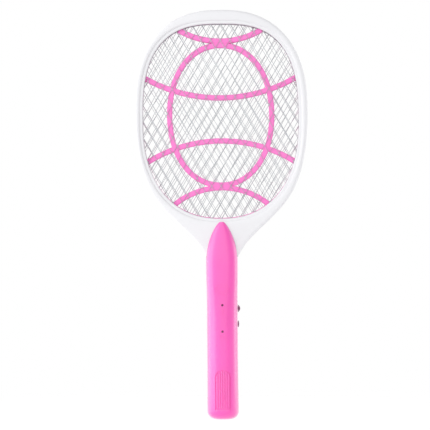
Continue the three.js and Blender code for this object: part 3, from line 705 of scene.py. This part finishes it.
class SWATTER_OT_spacers(bpy.types.Operator):
    """Models the two spacers: an oval ring and four bowed ribs with rounded edges, in a rim"""

    bl_idname = "swatter.spacers"
    bl_label = "Spacers"

    def execute(self, context):
        mesh = context.scene.swatter_mesh
        near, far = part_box("front_spacer")[0].y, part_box("front_spacer")[1].y
        rounding = mesh.rib_rounding
        rib = mesh.rib / 2
        spacer = plate([oval_outline(rib), oval_outline(-rib)], near, far, rounding)
        for step, bow in enumerate(SPACER_BOWS):
            sink = (0.05 + 0.02 * step) * MM  # faces in one plane don't join cleanly
            band = plate([bow_outline(*bow, mesh.rib)], near + sink, far - sink, rounding)
            spacer = fused(spacer, band)
        clip = plate([opening_outline(CAPTURE - 2 * GAP)], near - MM, far + MM)
        spacer = common(spacer, clip)
        inner = [(x, z + RIM_RISE) for x, z in opening_outline(0.6 * MM)]
        sink = 0.3 * MM
        rim = plate([opening_outline(CAPTURE - 2.5 * GAP), inner], near + sink, far - sink,
                    0.3 * MM, 3)
        spacer = fused(spacer, rim)
        rear = copied(spacer)
        rear.scale = (1, -1, 1)
        settle(rear)
        bpy.ops.object.mode_set(mode="EDIT")
        bpy.ops.mesh.select_all(action="SELECT")
        bpy.ops.mesh.normals_make_consistent(inside=False)
        bpy.ops.object.mode_set(mode="OBJECT")
        waxy = finish("spacer_polypropylene")
        delivered(spacer, "front_rib_spacer", "racket", waxy, ["front_spacer"])
        delivered(rear, "rear_rib_spacer", "racket", waxy, ["rear_spacer"])
        return {"FINISHED"}


# ---------------------------------------------------------------- grids


# Each sheet is stretched, turned (in degrees) and laid a little differently from the next.
GRID_LAYERS = {
    "front_guard_grid":
        {"name": "front_mesh", "stretch": (1.0, 1.0), "turn": 0.0, "shift": (0.0, 0.0)},
    "high_voltage_grid":
        {"name": "live_mesh", "stretch": (0.93, 0.965), "turn": -1.1, "shift": (0.4, 0.3)},
    "rear_guard_grid":
        {"name": "rear_mesh", "stretch": (1.02, 0.98), "turn": 1.7, "shift": (0.1, -0.2)},
}


def strand_blank():
    """One strand of expanded metal, lying along X from 0 to 1: slim at its middle, wide at the
    knuckles, with its edges turned over a little by the stretching."""
    mesh = bpy.context.scene.swatter_mesh
    blank = block((0, -0.5, -0.5), (1, 0.5, 0.5))
    select_only(blank)
    bpy.ops.object.mode_set(mode="EDIT")
    for station in (0.1, 0.3, 0.7, 0.9):
        bpy.ops.mesh.select_all(action="SELECT")
        bpy.ops.mesh.bisect(plane_co=(station, 0, 0), plane_no=(1, 0, 0))
    bpy.ops.object.mode_set(mode="OBJECT")
    for vertex in blank.data.vertices:
        x, y, z = vertex.co
        towards_knuckle = abs(2 * x - 1)
        width = mesh.strand_width * (1 + 0.55 * between(0.5, 1.0, towards_knuckle))
        turn = math.radians(24) * (1 - between(0.6, 1.0, towards_knuckle))
        y, z = y * mesh.strand_thickness, z * width
        vertex.co = (x, y * math.cos(turn) - z * math.sin(turn),
                     y * math.sin(turn) + z * math.cos(turn))
    return blank


def cut_fraction(start, end, grow):
    """How far along a strand the rim cuts it, from a start inside."""
    low, high = 0.0, 1.0
    for _ in range(12):
        middle = (low + high) / 2
        point = start.lerp(end, middle)
        if inside_opening(point.x, point.z, grow):
            low = middle
        else:
            high = middle
    return low


def strands(layer, edge):
    """The ends (start, end) of every strand that shows, cut to the rim."""
    mesh = bpy.context.scene.swatter_mesh
    head = bpy.context.scene.swatter_head
    half_w = mesh.diamond_width / 2 * layer["stretch"][0]
    half_h = mesh.diamond_height / 2 * layer["stretch"][1]
    columns = int(head.opening_half_width / half_w) + 4
    rows = int(head.opening_half_height / half_h) + 4
    turn = Matrix.Rotation(math.radians(layer["turn"]), 3, "Y")
    middle = Vector((0, 0, up(head.opening_middle)))
    for row in range(-rows, rows):
        for column in range(-columns, columns + 1):
            if (row + column) % 2:
                continue
            knuckle = Vector(((column + layer["shift"][0]) * half_w, 0,
                              (row + layer["shift"][1]) * half_h))
            start = middle + turn @ knuckle
            for lean in (-1, 1):
                end = start + turn @ Vector((lean * half_w, 0, half_h))
                start_in = inside_opening(start.x, start.z, edge)
                end_in = inside_opening(end.x, end.z, edge)
                if start_in and end_in:
                    yield start, end, lean
                elif start_in:
                    yield start, start.lerp(end, cut_fraction(start, end, edge)), lean
                elif end_in:
                    yield end.lerp(start, cut_fraction(end, start, edge)), end, lean


def expanded_sheet(node, layer):
    """A whole grid: strands, the flat rim that the frame clamps and the soldering tab."""
    low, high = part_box(node)
    middle = (low.y + high.y) / 2
    edge = CAPTURE - 2 * GAP
    rim = plate([opening_outline(edge), opening_outline(0.4 * MM)], low.y, high.y)
    tab = block((0, low.y, low.z), (6 * MM, high.y, low.z + 8 * MM))
    side = 1 if node == "high_voltage_grid" else -1
    tab.location.x = side * 6 * MM - 3 * MM
    settle(tab)
    blank = strand_blank()
    corners = [vertex.co.copy() for vertex in blank.data.vertices]
    sides = [list(face.vertices) for face in blank.data.polygons]
    points, faces = [], []
    for start, end, lean in strands(layer, edge - 0.6 * MM):
        along = end - start
        if along.length < 0.4 * MM:
            continue
        place = Matrix.Translation(start + Vector((0, middle, 0)))
        turn = Matrix.Rotation(-math.atan2(along.z, along.x), 4, "Y")
        tilt = Matrix.Scale(lean, 4, Vector((0, 1, 0)))
        first = len(points)
        for corner in corners:
            stretched = Vector((corner.x * along.length, corner.y, corner.z))
            points.append(place @ turn @ tilt @ stretched)
        order = 1 if lean > 0 else -1
        faces += [[first + i for i in face[::order]] for face in sides]
    bpy.data.objects.remove(blank)
    sheet = bpy.data.meshes.new("strands")
    sheet.from_pydata(points, [], faces)
    return joined([new_object("strands", sheet), rim, tab])


class SWATTER_OT_grids(bpy.types.Operator):
    """Models the three grids of expanded aluminium, each a little out of step with the next"""

    bl_idname = "swatter.grids"
    bl_label = "Grids"

    def execute(self, context):
        rolled = finish("expanded_aluminium")
        for node, layer in GRID_LAYERS.items():
            sheet = expanded_sheet(node, layer)
            delivered(sheet, layer["name"], "racket", rolled, [node], angle=20)
        return {"FINISHED"}


# ---------------------------------------------------------------- handle

TONGUE = {"start": 175 * MM, "tip": 217 * MM, "length": 43 * MM, "drop": 3.9 * MM}
THUMB_PAD = {"foot": 11 * MM, "top": 55 * MM, "half": 8.5 * MM, "depth": 0.75 * MM, "ribs": 6}
THUMB_RIB = {"radius": 0.72 * MM, "sunk": 0.62 * MM, "off_seam": 0.04 * MM}
LAMPS = {"charge_lamp": 125.8 * MM, "power_lamp": 96.9 * MM}
BUTTON_HEIGHT = 104.7 * MM
BUTTON_HOLE = 4.1 * MM
SWITCH_SLOT = {"half": 1.5 * MM, "below": 2.3 * MM, "above": 6.3 * MM}
SLIDER_SLOT = {"half": 2.6 * MM, "below": 19.6 * MM, "rounding": 1.2 * MM}
BLADE = {"x": 6.35 * MM, "half_thick": 0.75 * MM, "half_wide": 3.15 * MM, "tip_corner": 1.9 * MM,
         "hole": 1.5 * MM, "hole_up": 4.6 * MM}
TANG_SCREWS = (150 * MM, 169 * MM)
GRIP_SCREW = 44.2 * MM


def grip_section(height):
    """Half width, half depth and squareness of the handle at a height."""
    grip = bpy.context.scene.swatter_grip
    below = max(0.0, grip.foot_radius - height)
    inset = grip.foot_radius - math.sqrt(grip.foot_radius ** 2 - below ** 2)
    swell = (0.6 * MM * between(130 * MM, 166 * MM, height)
             + 0.25 * MM * (1 - between(8 * MM, 45 * MM, height)))
    above = max(0.0, height - TONGUE["start"]) / TONGUE["length"]
    width = (grip.half_width + swell - inset) * math.sqrt(1 - above ** 2)
    depth = grip.half_depth - inset - TONGUE["drop"] * above ** 1.3
    power = (2.2 + 0.6 * between(105 * MM, 160 * MM, height)
             - 0.35 * between(172 * MM, 200 * MM, height))
    return width, depth, power


def grip_heights(foot, top):
    """Heights of the handle's sections: close together where it curves, wide apart where not."""
    radius = bpy.context.scene.swatter_grip.foot_radius
    curve = [radius * (1 - math.cos(math.radians(a))) for a in range(0, 91, 9)]
    shaft = [h * MM for h in (14, 22, 30, 38, 46, 62, 90, 112, 130)]
    shoulder = [h * MM for h in range(135, 176, 4)]
    span = TONGUE["tip"] - TONGUE["start"]
    tongue = [TONGUE["start"] + span * math.sin(math.radians(a)) for a in range(5, 91, 5)]
    heights = [h for h in curve + shaft + shoulder + tongue if foot < h < top]
    return [foot] + heights + [top]


def grip_solid(foot, top, inset=0.0, sides=None):
    """The handle's outer shape between two heights, drawn in by an inset: a disc extruded from
    section to section, each then brought to its outline."""
    sides = sides or bpy.context.scene.swatter_grip.sides
    heights = grip_heights(foot, top)
    bpy.ops.object.select_all(action="DESELECT")
    bpy.ops.mesh.primitive_circle_add(
        vertices=sides, radius=1, fill_type="NGON", location=(0, 0, heights[0]))
    piece = settle(bpy.context.object)
    bpy.ops.object.mode_set(mode="EDIT")
    bpy.ops.mesh.select_all(action="SELECT")
    for low, high in zip(heights, heights[1:]):
        bpy.ops.mesh.extrude_region_move(TRANSFORM_OT_translate={"value": (0, 0, high - low)})
    bpy.ops.mesh.select_all(action="SELECT")
    bpy.ops.mesh.normals_make_consistent(inside=False)
    bpy.ops.object.mode_set(mode="OBJECT")
    for vertex in piece.data.vertices:
        x, y, z = vertex.co
        width, depth, power = grip_section(z)
        across, deep = super_point(math.atan2(y, x), width - inset, depth - inset, power)
        vertex.co = (across, deep, up(z))
    return piece


def arch_outline(half_width, foot, top, count=24):
    """A round-topped doorway shape."""
    middle = top - half_width
    arc = [(half_width * math.cos(a), up(middle) + half_width * math.sin(a))
           for a in (math.pi * i / count for i in range(count + 1))]
    return [(-half_width, up(foot)), (half_width, up(foot))] + arc


def oval_ring(x, height, half_width, half_height, line):
    """A thin oval ring, as its outer and inner outlines."""
    def outline(grow):
        across, tall = half_width + grow, half_height + grow
        return [(x + across * math.cos(a), up(height) + tall * math.sin(a))
                for a in (2 * math.pi * i / 64 for i in range(64))]
    return [outline(0), outline(-line)]


def moulded_marks():
    """The raised marks on the front: a blank oval plaque, a bolt and a cell symbol."""
    front, back = -30 * MM, -5 * MM
    plaque = plate(oval_ring(0, 143 * MM, 9.2 * MM, 5.6 * MM, 0.9 * MM), front, back)
    inner = plate(oval_ring(0, 143 * MM, 6.6 * MM, 3.3 * MM, 0.5 * MM), front, back)
    bolt_points = [(0.9, 3.2), (-1.7, -0.4), (-0.2, -0.4), (-0.9, -3.2), (1.7, 0.5), (0.2, 0.5)]
    bolt = plate([[(x * MM, up(118.4 * MM) + z * MM) for x, z in bolt_points]], front, back)
    low, high, side = up(88.6 * MM), up(92.2 * MM), 2.6 * MM
    wall = 0.55 * MM
    cell = plate(
        [[(-side, low), (side, low), (side, high), (-side, high)],
         [(-side + wall, low + wall), (side - wall, low + wall),
          (side - wall, high - wall), (-side + wall, high - wall)]], front, back)
    knob = block((side + 0.2 * MM, front, low + 1.1 * MM), (side + 1 * MM, back, high - 1.1 * MM))
    bar = block((-1.6 * MM, front, low + 1 * MM), (0.2 * MM, back, high - 1 * MM))
    return joined([plaque, inner, bolt, cell, knob, bar])


def thumb_ribs():
    """Upright rounded ribs that stand in the thumb pad, cut to follow its round top."""
    grip = bpy.context.scene.swatter_grip
    pad = THUMB_PAD
    radius = THUMB_RIB["radius"]
    ribs = []
    pitch = 2 * pad["half"] / (pad["ribs"] + 1)
    for i in range(1, pad["ribs"] + 1):
        x = -pad["half"] + i * pitch + THUMB_RIB["off_seam"]
        surface = -grip.half_depth * (1 - abs(x / grip.half_width) ** 2.2) ** (1 / 2.2)
        y = surface + THUMB_RIB["sunk"]
        arch = math.sqrt(pad["half"] ** 2 - x ** 2) - pad["half"]
        low, high = up(pad["foot"] + 1.5 * MM), up(pad["top"] + arch - 1.2 * MM)
        profile = [(radius * math.sin(a), radius * (1 - math.cos(a)))
                   for a in (math.pi / 2 * k / 6 for k in range(7))]
        length = high - low
        profile += [(r, length - z) for r, z in profile[::-1]]
        ribs.append(turned(profile, (x, y, low), (0, 0, 1), 20))
    return joined(ribs)


class SWATTER_OT_handle(bpy.types.Operator):
    """Models the handle's two shells, with the bullet-shaped tongues, the ribbed thumb pad, the
    raised marks and every hole"""

    bl_idname = "swatter.handle"
    bl_label = "Handle"

    def execute(self, context):
        grip = context.scene.swatter_grip
        neck = context.scene.swatter_head.half_depth + 2 * GAP
        shell = grip_solid(0, TONGUE["tip"])
        marks = common(moulded_marks(), grip_solid(80 * MM, 155 * MM, -grip.raised))
        shell = fused(shell, marks)
        pad = plate(
            [arch_outline(THUMB_PAD["half"], THUMB_PAD["foot"], THUMB_PAD["top"])], -30 * MM, 0)
        pad = cut(pad, grip_solid(2 * MM, 70 * MM, THUMB_PAD["depth"]))
        shell = cut(shell, pad)
        shell = fused(shell, thumb_ribs())
        shell = cut(shell, grip_solid(3 * MM, SHOULDER, grip.wall, 48))
        neck_space = block(
            (-40 * MM, -neck, up(SHOULDER)), (40 * MM, neck, up(TONGUE["tip"] + 9 * MM)))
        shell = cut(shell, slimmed(neck_space, 2 * GAP))
        shell = fused(shell, self.bosses())
        shell = cut(shell, self.holes())
        front, rear = half(copied(shell), -1), half(shell, 1)
        satin = finish("grip_abs")
        delivered(front, "front_grip_shell", "racket", satin, ["front_handle_shell"])
        delivered(rear, "rear_grip_shell", "racket", satin, ["rear_handle_shell"])
        return {"FINISHED"}

    @staticmethod
    def bosses():
        """Rear bosses that hold the screws' counterbores."""
        inner = 11.3 * MM
        bosses = [rod(3.6 * MM, (0, 0.4 * MM, up(GRIP_SCREW)), (0, 15 * MM, up(GRIP_SCREW)))]
        for height in TANG_SCREWS:
            bosses.append(rod(3.6 * MM, (0, inner, up(height)), (0, 15 * MM, up(height))))
        return joined(bosses)

    @staticmethod
    def holes():
        """Every hole through the shells, as one tool."""
        far = 30 * MM
        tools = []
        for height in LAMPS.values():
            tools.append(rod(1.3 * MM, (0, -far, up(height)), (0, -8 * MM, up(height))))
        middle = up(BUTTON_HEIGHT)
        tools.append(rod(BUTTON_HOLE, (11 * MM, 0, middle), (far, 0, middle), 64))
        low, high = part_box("slide_switch_knob")
        knob = (low.z + high.z) / 2
        half_slot = SWITCH_SLOT["half"]
        tools.append(block((10 * MM, -half_slot, knob - SWITCH_SLOT["below"]),
                           (far, half_slot, knob + SWITCH_SLOT["above"])))
        low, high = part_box("plug_thumb_slider")
        slider = (low.z + high.z) / 2
        half_slot = SLIDER_SLOT["half"]
        slot = block((-half_slot, 8 * MM, slider - SLIDER_SLOT["below"]),
                     (half_slot, far, slider + half_slot))
        tools.append(softened(slot, SLIDER_SLOT["rounding"], 4))
        for node in ("plug_blade_left", "plug_blade_right"):
            x = math.copysign(BLADE["x"], (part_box(node)[0].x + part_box(node)[1].x))
            tools.append(block((x - 1.05 * MM, -3.45 * MM, up(-5 * MM)),
                               (x + 1.05 * MM, 3.45 * MM, up(8 * MM))))
        tools.append(rod(COUNTERBORE, (0, 8 * MM, up(GRIP_SCREW)), (0, far, up(GRIP_SCREW))))
        for height in TANG_SCREWS:
            tools.append(rod(COUNTERBORE, (0, 13.4 * MM, up(height)), (0, far, up(height))))
        return joined(tools)


# ---------------------------------------------------------------- lamps and controls


class SWATTER_OT_lamps(bpy.types.Operator):
    """Models the two indicator lamps: a domed epoxy body on a flange, with two leads"""

    bl_idname = "swatter.lamps"
    bl_label = "Indicator lamps"

    def execute(self, context):
        for node, height in LAMPS.items():
            low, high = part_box(node)
            radius = 1.1 * MM
            foot = 5.9 * MM
            dome = [(radius * math.cos(a), foot - radius + radius * math.sin(a))
                    for a in (math.pi / 2 * k / 8 for k in range(9))]
            profile = [(0, 0), (1.5 * MM, 0), (1.6 * MM, 0.1 * MM), (1.6 * MM, 0.9 * MM),
                       (1.5 * MM, 1 * MM), (radius, 1 * MM)] + dome
            lens = turned(profile, (0, low.y + foot, up(height)), (0, -1, 0), 40)
            leads = [
                block((x - 0.25 * MM, low.y + foot - 0.1 * MM, up(height) - 0.25 * MM),
                      (x + 0.25 * MM, high.y, up(height) + 0.25 * MM))
                for x in (-0.9 * MM, 0.9 * MM)]
            lamp = joined([lens, *leads])
            delivered(lamp, node + "_lens", "racket", lamp_epoxy(), [node])
        return {"FINISHED"}


class SWATTER_OT_controls(bpy.types.Operator):
    """Models the slide switch's ridged knob and the domed push button"""

    bl_idname = "swatter.controls"
    bl_label = "Switch and button"

    def execute(self, context):
        self.knob()
        self.button()
        return {"FINISHED"}

    @staticmethod
    def knob():
        low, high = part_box("slide_switch_knob")
        middle = (low.z + high.z) / 2
        proud = 2.1 * MM
        foot = high.x - proud
        right = [(foot, low.z), (foot + 0.7 * MM, low.z + 0.3 * MM)]
        steps = 3
        for i in range(1, steps + 1):  # a stair of finger ridges up to the crest
            z = low.z + 0.7 * MM + (i - 1) * 0.9 * MM
            rise = foot + 0.7 * MM + (proud - 0.7 * MM) * i / steps
            right += [(rise - 0.36 * MM, z), (rise, z + 0.4 * MM)]
        outline = right + [(x, 2 * middle - z) for x, z in reversed(right)]
        cap = plate([outline], low.y, high.y, 0.16 * MM, 3)
        stem = block((low.x, -1.1 * MM, middle - 1.9 * MM),
                     (foot + 0.4 * MM, 1.1 * MM, middle + 1.9 * MM))
        knob = fused(cap, softened(stem, 0.2 * MM))
        delivered(knob, "power_switch_knob", "power_switch",
                  finish("control_abs"), ["slide_switch_knob"])

    @staticmethod
    def button():
        low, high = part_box("push_button")
        middle = (low.z + high.z) / 2
        length = high.x - low.x
        radius = 3.8 * MM
        edge = 0.9 * MM
        crown = [(radius - edge * (1 - math.cos(a)), length - 0.55 * MM - edge * (1 - math.sin(a)))
                 for a in (math.pi / 2 * k / 6 for k in range(7))]
        dome = [(x * (radius - edge), length - 0.55 * MM * x * x) for x in (0.8, 0.6, 0.4, 0.2, 0)]
        profile = [(0, 0), (1.5 * MM, 0), (1.6 * MM, 0.1 * MM), (1.6 * MM, 1.2 * MM),
                   (4.7 * MM, 1.2 * MM), (4.8 * MM, 1.3 * MM), (4.8 * MM, 2.1 * MM),
                   (4.7 * MM, 2.2 * MM), (radius, 2.2 * MM), *crown, *dome]
        button = turned(profile, (low.x, 0, middle), (1, 0, 0), 64)
        delivered(button, "zap_push_button", "zap_button",
                  finish("control_abs"), ["push_button"])


# ---------------------------------------------------------------- charging plug


def ribbed_cap(low, high, grooves):
    """A rounded cap on the rear with grooves across its face."""
    cap = softened(block(low, high), 0.8 * MM, 4)
    span = high[2] - low[2]
    tools = []
    for i in range(grooves):
        z = low[2] + span * (i + 1) / (grooves + 1)
        tools.append(rod(0.45 * MM, (low[0] - MM, high[1] + 0.1 * MM, z),
                         (high[0] + MM, high[1] + 0.1 * MM, z), 20))
    return cut(cap, joined(tools))


class SWATTER_OT_plug(bpy.types.Operator):
    """Models the charging plug: its carrier, two flat blades and the thumb slider at the rear"""

    bl_idname = "swatter.plug"
    bl_label = "Charging plug"

    def execute(self, context):
        nylon = finish("black_nylon")
        low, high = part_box("plug_carrier")
        carrier = softened(block(low, high), 0.8 * MM)
        slots = []
        for side in (-1, 1):
            x = side * BLADE["x"]
            slots.append(block((x - 1.0 * MM, -3.4 * MM, low.z - MM),
                               (x + 1.0 * MM, 3.4 * MM, high.z + MM)))
        carrier = cut(carrier, joined(slots))
        delivered(carrier, "plug_carriage", "charging_plug", nylon, ["plug_carrier"])
        self.slider(nylon)
        for side, node in ((-1, "plug_blade_left"), (1, "plug_blade_right")):
            self.blade(side, node)
        return {"FINISHED"}

    @staticmethod
    def slider(nylon):
        low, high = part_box("plug_thumb_slider")
        middle = (low.z + high.z) / 2
        surface = high.y - 2.2 * MM
        cap = ribbed_cap((low.x, surface, low.z), tuple(high), 5)
        half = 2.3 * MM
        stem = block((-half, low.y, middle - half), (half, surface + 0.5 * MM, middle + half))
        slider = fused(cap, softened(stem, 0.3 * MM))
        delivered(slider, "plug_slider", "charging_plug", nylon,
                  ["plug_thumb_slider"])

    @staticmethod
    def blade(side, node):
        low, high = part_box(node)
        x = side * BLADE["x"]
        thick, wide = BLADE["half_thick"], BLADE["half_wide"]
        blade = block((x - thick, -wide, low.z), (x + thick, wide, high.z))
        select_only(blade)
        bpy.ops.object.mode_set(mode="EDIT")
        bpy.ops.mesh.select_mode(type="EDGE")
        bpy.ops.mesh.select_all(action="DESELECT")
        bpy.ops.object.mode_set(mode="OBJECT")
        for edge in blade.data.edges:  # the two corners of the tip that run through the blade
            ends = [blade.data.vertices[i].co for i in edge.vertices]
            at_tip = all(abs(p.z - low.z) < 1e-6 for p in ends)
            edge.select = at_tip and abs(ends[0].x - ends[1].x) > thick
        bpy.ops.object.mode_set(mode="EDIT")
        bpy.ops.mesh.bevel(offset=BLADE["tip_corner"], segments=6)
        bpy.ops.object.mode_set(mode="OBJECT")
        middle = low.z + BLADE["hole_up"]
        hole = rod(BLADE["hole"], (x - 2 * MM, 0, middle), (x + 2 * MM, 0, middle), 32)
        blade = softened(cut(blade, hole), 0.18 * MM)
        near, far = side * 5.85 * MM, side * 9.9 * MM
        foot = block((min(near, far), -1.5 * MM, up(35 * MM)),
                     (max(near, far), 1.5 * MM, up(36.5 * MM)))
        blade = fused(blade, foot)
        delivered(blade, node.replace("plug_", "") + "_pin", "charging_plug",
                  finish("nickel_plated_brass"), [node])


# ---------------------------------------------------------------- screws and circuit


def screw_blank(length):
    """A pan-head screw with a cross recess, its crown at the origin and its shank towards -Y."""
    head = 2.4 * MM
    crown = [(head * math.sin(a), 0.55 * MM * (1 - math.cos(a)) / (1 - math.cos(1.2)))
             for a in (1.2 * k / 6 for k in range(7))]
    scale = head / crown[-1][0]
    crown = [(r * scale, z) for r, z in crown]
    profile = crown + [(head, 0.8 * MM), (head * 0.96, 1.5 * MM), (1.1 * MM, 1.5 * MM)]
    thread = 1.5 * MM
    while thread < length - 2.2 * MM:  # the thread, drawn as rings
        thread += 0.45 * MM
        profile += [(0.85 * MM, thread), (1.1 * MM, thread + 0.22 * MM)]
        thread += 0.45 * MM
    profile += [(0.8 * MM, length - 1.2 * MM), (0, length)]
    screw = turned(profile, (0, 0, 0), (0, -1, 0), 28)
    arms = [block((-1.35 * MM, -0.95 * MM, -0.24 * MM), (1.35 * MM, MM, 0.24 * MM)),
            block((-0.24 * MM, -0.95 * MM, -1.35 * MM), (0.24 * MM, MM, 1.35 * MM))]
    return cut(screw, fused(*arms))


class SWATTER_OT_screws(bpy.types.Operator):
    """Models one screw of each length and copies it to every seat"""

    bl_idname = "swatter.screws"
    bl_label = "Screws"

    def execute(self, context):
        zinc = finish("zinc_plated_steel")
        nodes = [n for n in frame["nodes"] if "_screw_" in n]
        blanks = {}
        for node in sorted(nodes):
            low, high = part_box(node)
            length = round((high.y - low.y) / MM)
            if length not in blanks:
                blanks[length] = screw_blank(length * MM)
            screw = copied(blanks[length])
            screw.location = ((low.x + high.x) / 2, high.y, (low.z + high.z) / 2)
            delivered(screw, node + "_turned", "racket", zinc, [node])
        for blank in blanks.values():
            bpy.data.objects.remove(blank)
        return {"FINISHED"}


class SWATTER_OT_circuit(bpy.types.Operator):
    """Gives the parts inside the handle their finishes"""

    bl_idname = "swatter.circuit"
    bl_label = "Circuit and cells"

    FINISHES = {
        "black_nylon": ["slide_switch_body", "button_switch_body", "oscillator_transistor",
                        "rectifier_diode_1", "rectifier_diode_2", "rectifier_diode_3"],
        "board_laminate": ["circuit_board"],
        "ferrite": ["transformer_core"],
        "enamelled_copper": ["transformer_winding"],
        "capacitor_epoxy": ["high_voltage_capacitor", "current_resistor"],
        "cell_sleeve_pvc": ["rechargeable_cell_left", "rechargeable_cell_right"],
        "zinc_plated_steel": ["cell_link"],
        "nickel_plated_brass": ["plug_contact_left", "plug_contact_right"],
        "tinned_copper": ["ground_bridge"],
        "red_wire_pvc": ["live_lead", "cell_lead_positive", "charge_lead_right"],
        "black_wire_pvc": ["ground_lead", "cell_lead_negative", "charge_lead_left"],
    }

    def execute(self, context):
        for name, nodes in self.FINISHES.items():
            for node in nodes:
                part = frame["nodes"][node]
                for slot in part.material_slots:
                    slot.material = finish(name)
        return {"FINISHED"}


# ---------------------------------------------------------------- stage


FLOOR_RADIUS = 0.7
FLOOR_DROP = 17.5 * MM  # leaves room for the plug's blades at full reach


def softbox(name, position, width, height, power):
    """A soft area light that faces the middle of the object and isn't seen itself."""
    data = bpy.data.lights.new(name, "AREA")
    data.shape = "RECTANGLE"
    data.size, data.size_y = width, height
    data.energy = power
    light = new_object(name, data)
    light.location = position
    target = Vector((0, 0, up(230 * MM)))
    light.rotation_euler = (target - Vector(position)).to_track_quat("-Z", "Y").to_euler()
    light.visible_camera = False
    return light


class SWATTER_OT_stage(bpy.types.Operator):
    """Sets the camera, the white surroundings, the soft lights and the pale floor"""

    bl_idname = "swatter.stage"
    bl_label = "Stage"

    def execute(self, context):
        stage = context.scene.swatter_stage
        self.camera(context, stage)
        self.surroundings(context, stage)
        softbox("front_softbox", (-0.3, -2.2, up(1.0)), 3.0, 2.4, stage.broad)
        softbox("back_softbox", (0.3, 2.2, up(1.0)), 3.0, 2.4, stage.broad)
        softbox("left_strip", (-1.0, 0.12, up(0.3)), 0.85, 1.3, stage.left)
        softbox("left_front_softbox", (-1.35, -0.85, up(0.4)), 0.9, 1.3, stage.left_front)
        softbox("right_strip", (1.0, 0.2, up(0.3)), 0.5, 1.3, stage.right)
        self.floor()
        return {"FINISHED"}

    @staticmethod
    def camera(context, stage):
        data = bpy.data.cameras.new("camera")
        data.lens = stage.lens
        data.sensor_width = 36
        distance = stage.framed / 2 / (data.sensor_width / 2 / data.lens)
        camera = new_object("camera", data)
        camera.location = (stage.aim[0], -distance, up(stage.aim[2]))
        level = Matrix.Rotation(math.pi / 2, 4, "X") @ Matrix.Rotation(stage.roll, 4, "Z")
        camera.rotation_euler = level.to_euler()
        data.clip_start, data.clip_end = 0.1, 30
        context.scene.camera = camera

    @staticmethod
    def surroundings(context, stage):
        world = bpy.data.worlds.new("white_surroundings")
        world.use_nodes = True
        tree = world.node_tree
        tree.nodes.clear()
        seen = add(tree, "ShaderNodeLightPath").outputs["Is Camera Ray"]
        # The backdrop itself shows as plain white, and lights the object more softly than that.
        strength = add(tree, "ShaderNodeMix", values={"A": stage.sky, "B": 1.0},
                       links={"Factor": seen}).outputs["Result"]
        sky = add(tree, "ShaderNodeBackground", values={"Color": (1, 1, 1, 1)},
                  links={"Strength": strength})
        add(tree, "ShaderNodeOutputWorld", links={"Surface": sky.outputs["Background"]})
        context.scene.world = world
        context.scene.view_settings.view_transform = "Standard"

    @staticmethod
    def floor():
        bpy.ops.object.select_all(action="DESELECT")
        bpy.ops.mesh.primitive_circle_add(
            vertices=96, radius=FLOOR_RADIUS, fill_type="NGON",
            location=(0, 0, FOOT - FLOOR_DROP))
        floor = settle(bpy.context.object)
        floor.name = "floor"
        material, tree = empty_material("painted_floor")
        place = add(tree, "ShaderNodeTexCoord").outputs["Object"]
        mottle = add(tree, "ShaderNodeTexNoise", values={"Scale": per_metre(60 * MM)},
                     links={"Vector": place}).outputs["Fac"]
        tint = ramp(tree, mottle, linear("#FAFAFA"), linear("#FFFFFF"))
        shader = add(tree, "ShaderNodeBsdfPrincipled", values={"Roughness": 0.9},
                     links={"Base Color": tint})
        # The sheet fades out before its edge, so that no horizon shows behind the object.
        reach = add(tree, "ShaderNodeVectorMath", {"operation": "LENGTH"},
                    links={0: place}).outputs["Value"]
        fade = ramp(tree, reach, 0.0, 1.0, (0.3 * FLOOR_RADIUS, 0.95 * FLOOR_RADIUS))
        clear = add(tree, "ShaderNodeBsdfTransparent")
        blend = add(tree, "ShaderNodeMixShader",
                    links={0: fade, 1: shader.outputs["BSDF"], 2: clear.outputs["BSDF"]})
        add(tree, "ShaderNodeOutputMaterial", links={"Surface": blend.outputs["Shader"]})
        floor.data.materials.append(material)


# ---------------------------------------------------------------- panel and registration

STEPS = [SWATTER_OT_stage, SWATTER_OT_head_frame, SWATTER_OT_spacers, SWATTER_OT_grids,
         SWATTER_OT_handle, SWATTER_OT_lamps, SWATTER_OT_controls, SWATTER_OT_plug,
         SWATTER_OT_screws, SWATTER_OT_circuit]


class SWATTER_PT_panel(bpy.types.Panel):
    """Lists the swatter's pieces in the sidebar"""

    bl_label = "Electric fly swatter"
    bl_idname = "SWATTER_PT_panel"
    bl_space_type = "VIEW_3D"
    bl_region_type = "UI"
    bl_category = "Swatter"

    def draw(self, context):
        for step in STEPS:
            self.layout.operator(step.bl_idname)


SETTINGS = {
    "swatter_head": SwatterHead,
    "swatter_mesh": SwatterMesh,
    "swatter_grip": SwatterGrip,
    "swatter_colours": SwatterColours,
    "swatter_stage": SwatterStage,
}


def register():
    for kind in (*SETTINGS.values(), *STEPS, SWATTER_PT_panel):
        bpy.utils.register_class(kind)
    for name, kind in SETTINGS.items():
        setattr(bpy.types.Scene, name, PointerProperty(type=kind))


def unregister():
    for name in SETTINGS:
        delattr(bpy.types.Scene, name)
    for kind in (SWATTER_PT_panel, *reversed(STEPS), *reversed(SETTINGS.values())):
        bpy.utils.unregister_class(kind)


def main():
    register()
    for step in STEPS:
        group, name = step.bl_idname.split(".")
        getattr(getattr(bpy.ops, group), name)()


if __name__ == "__main__":
    main()
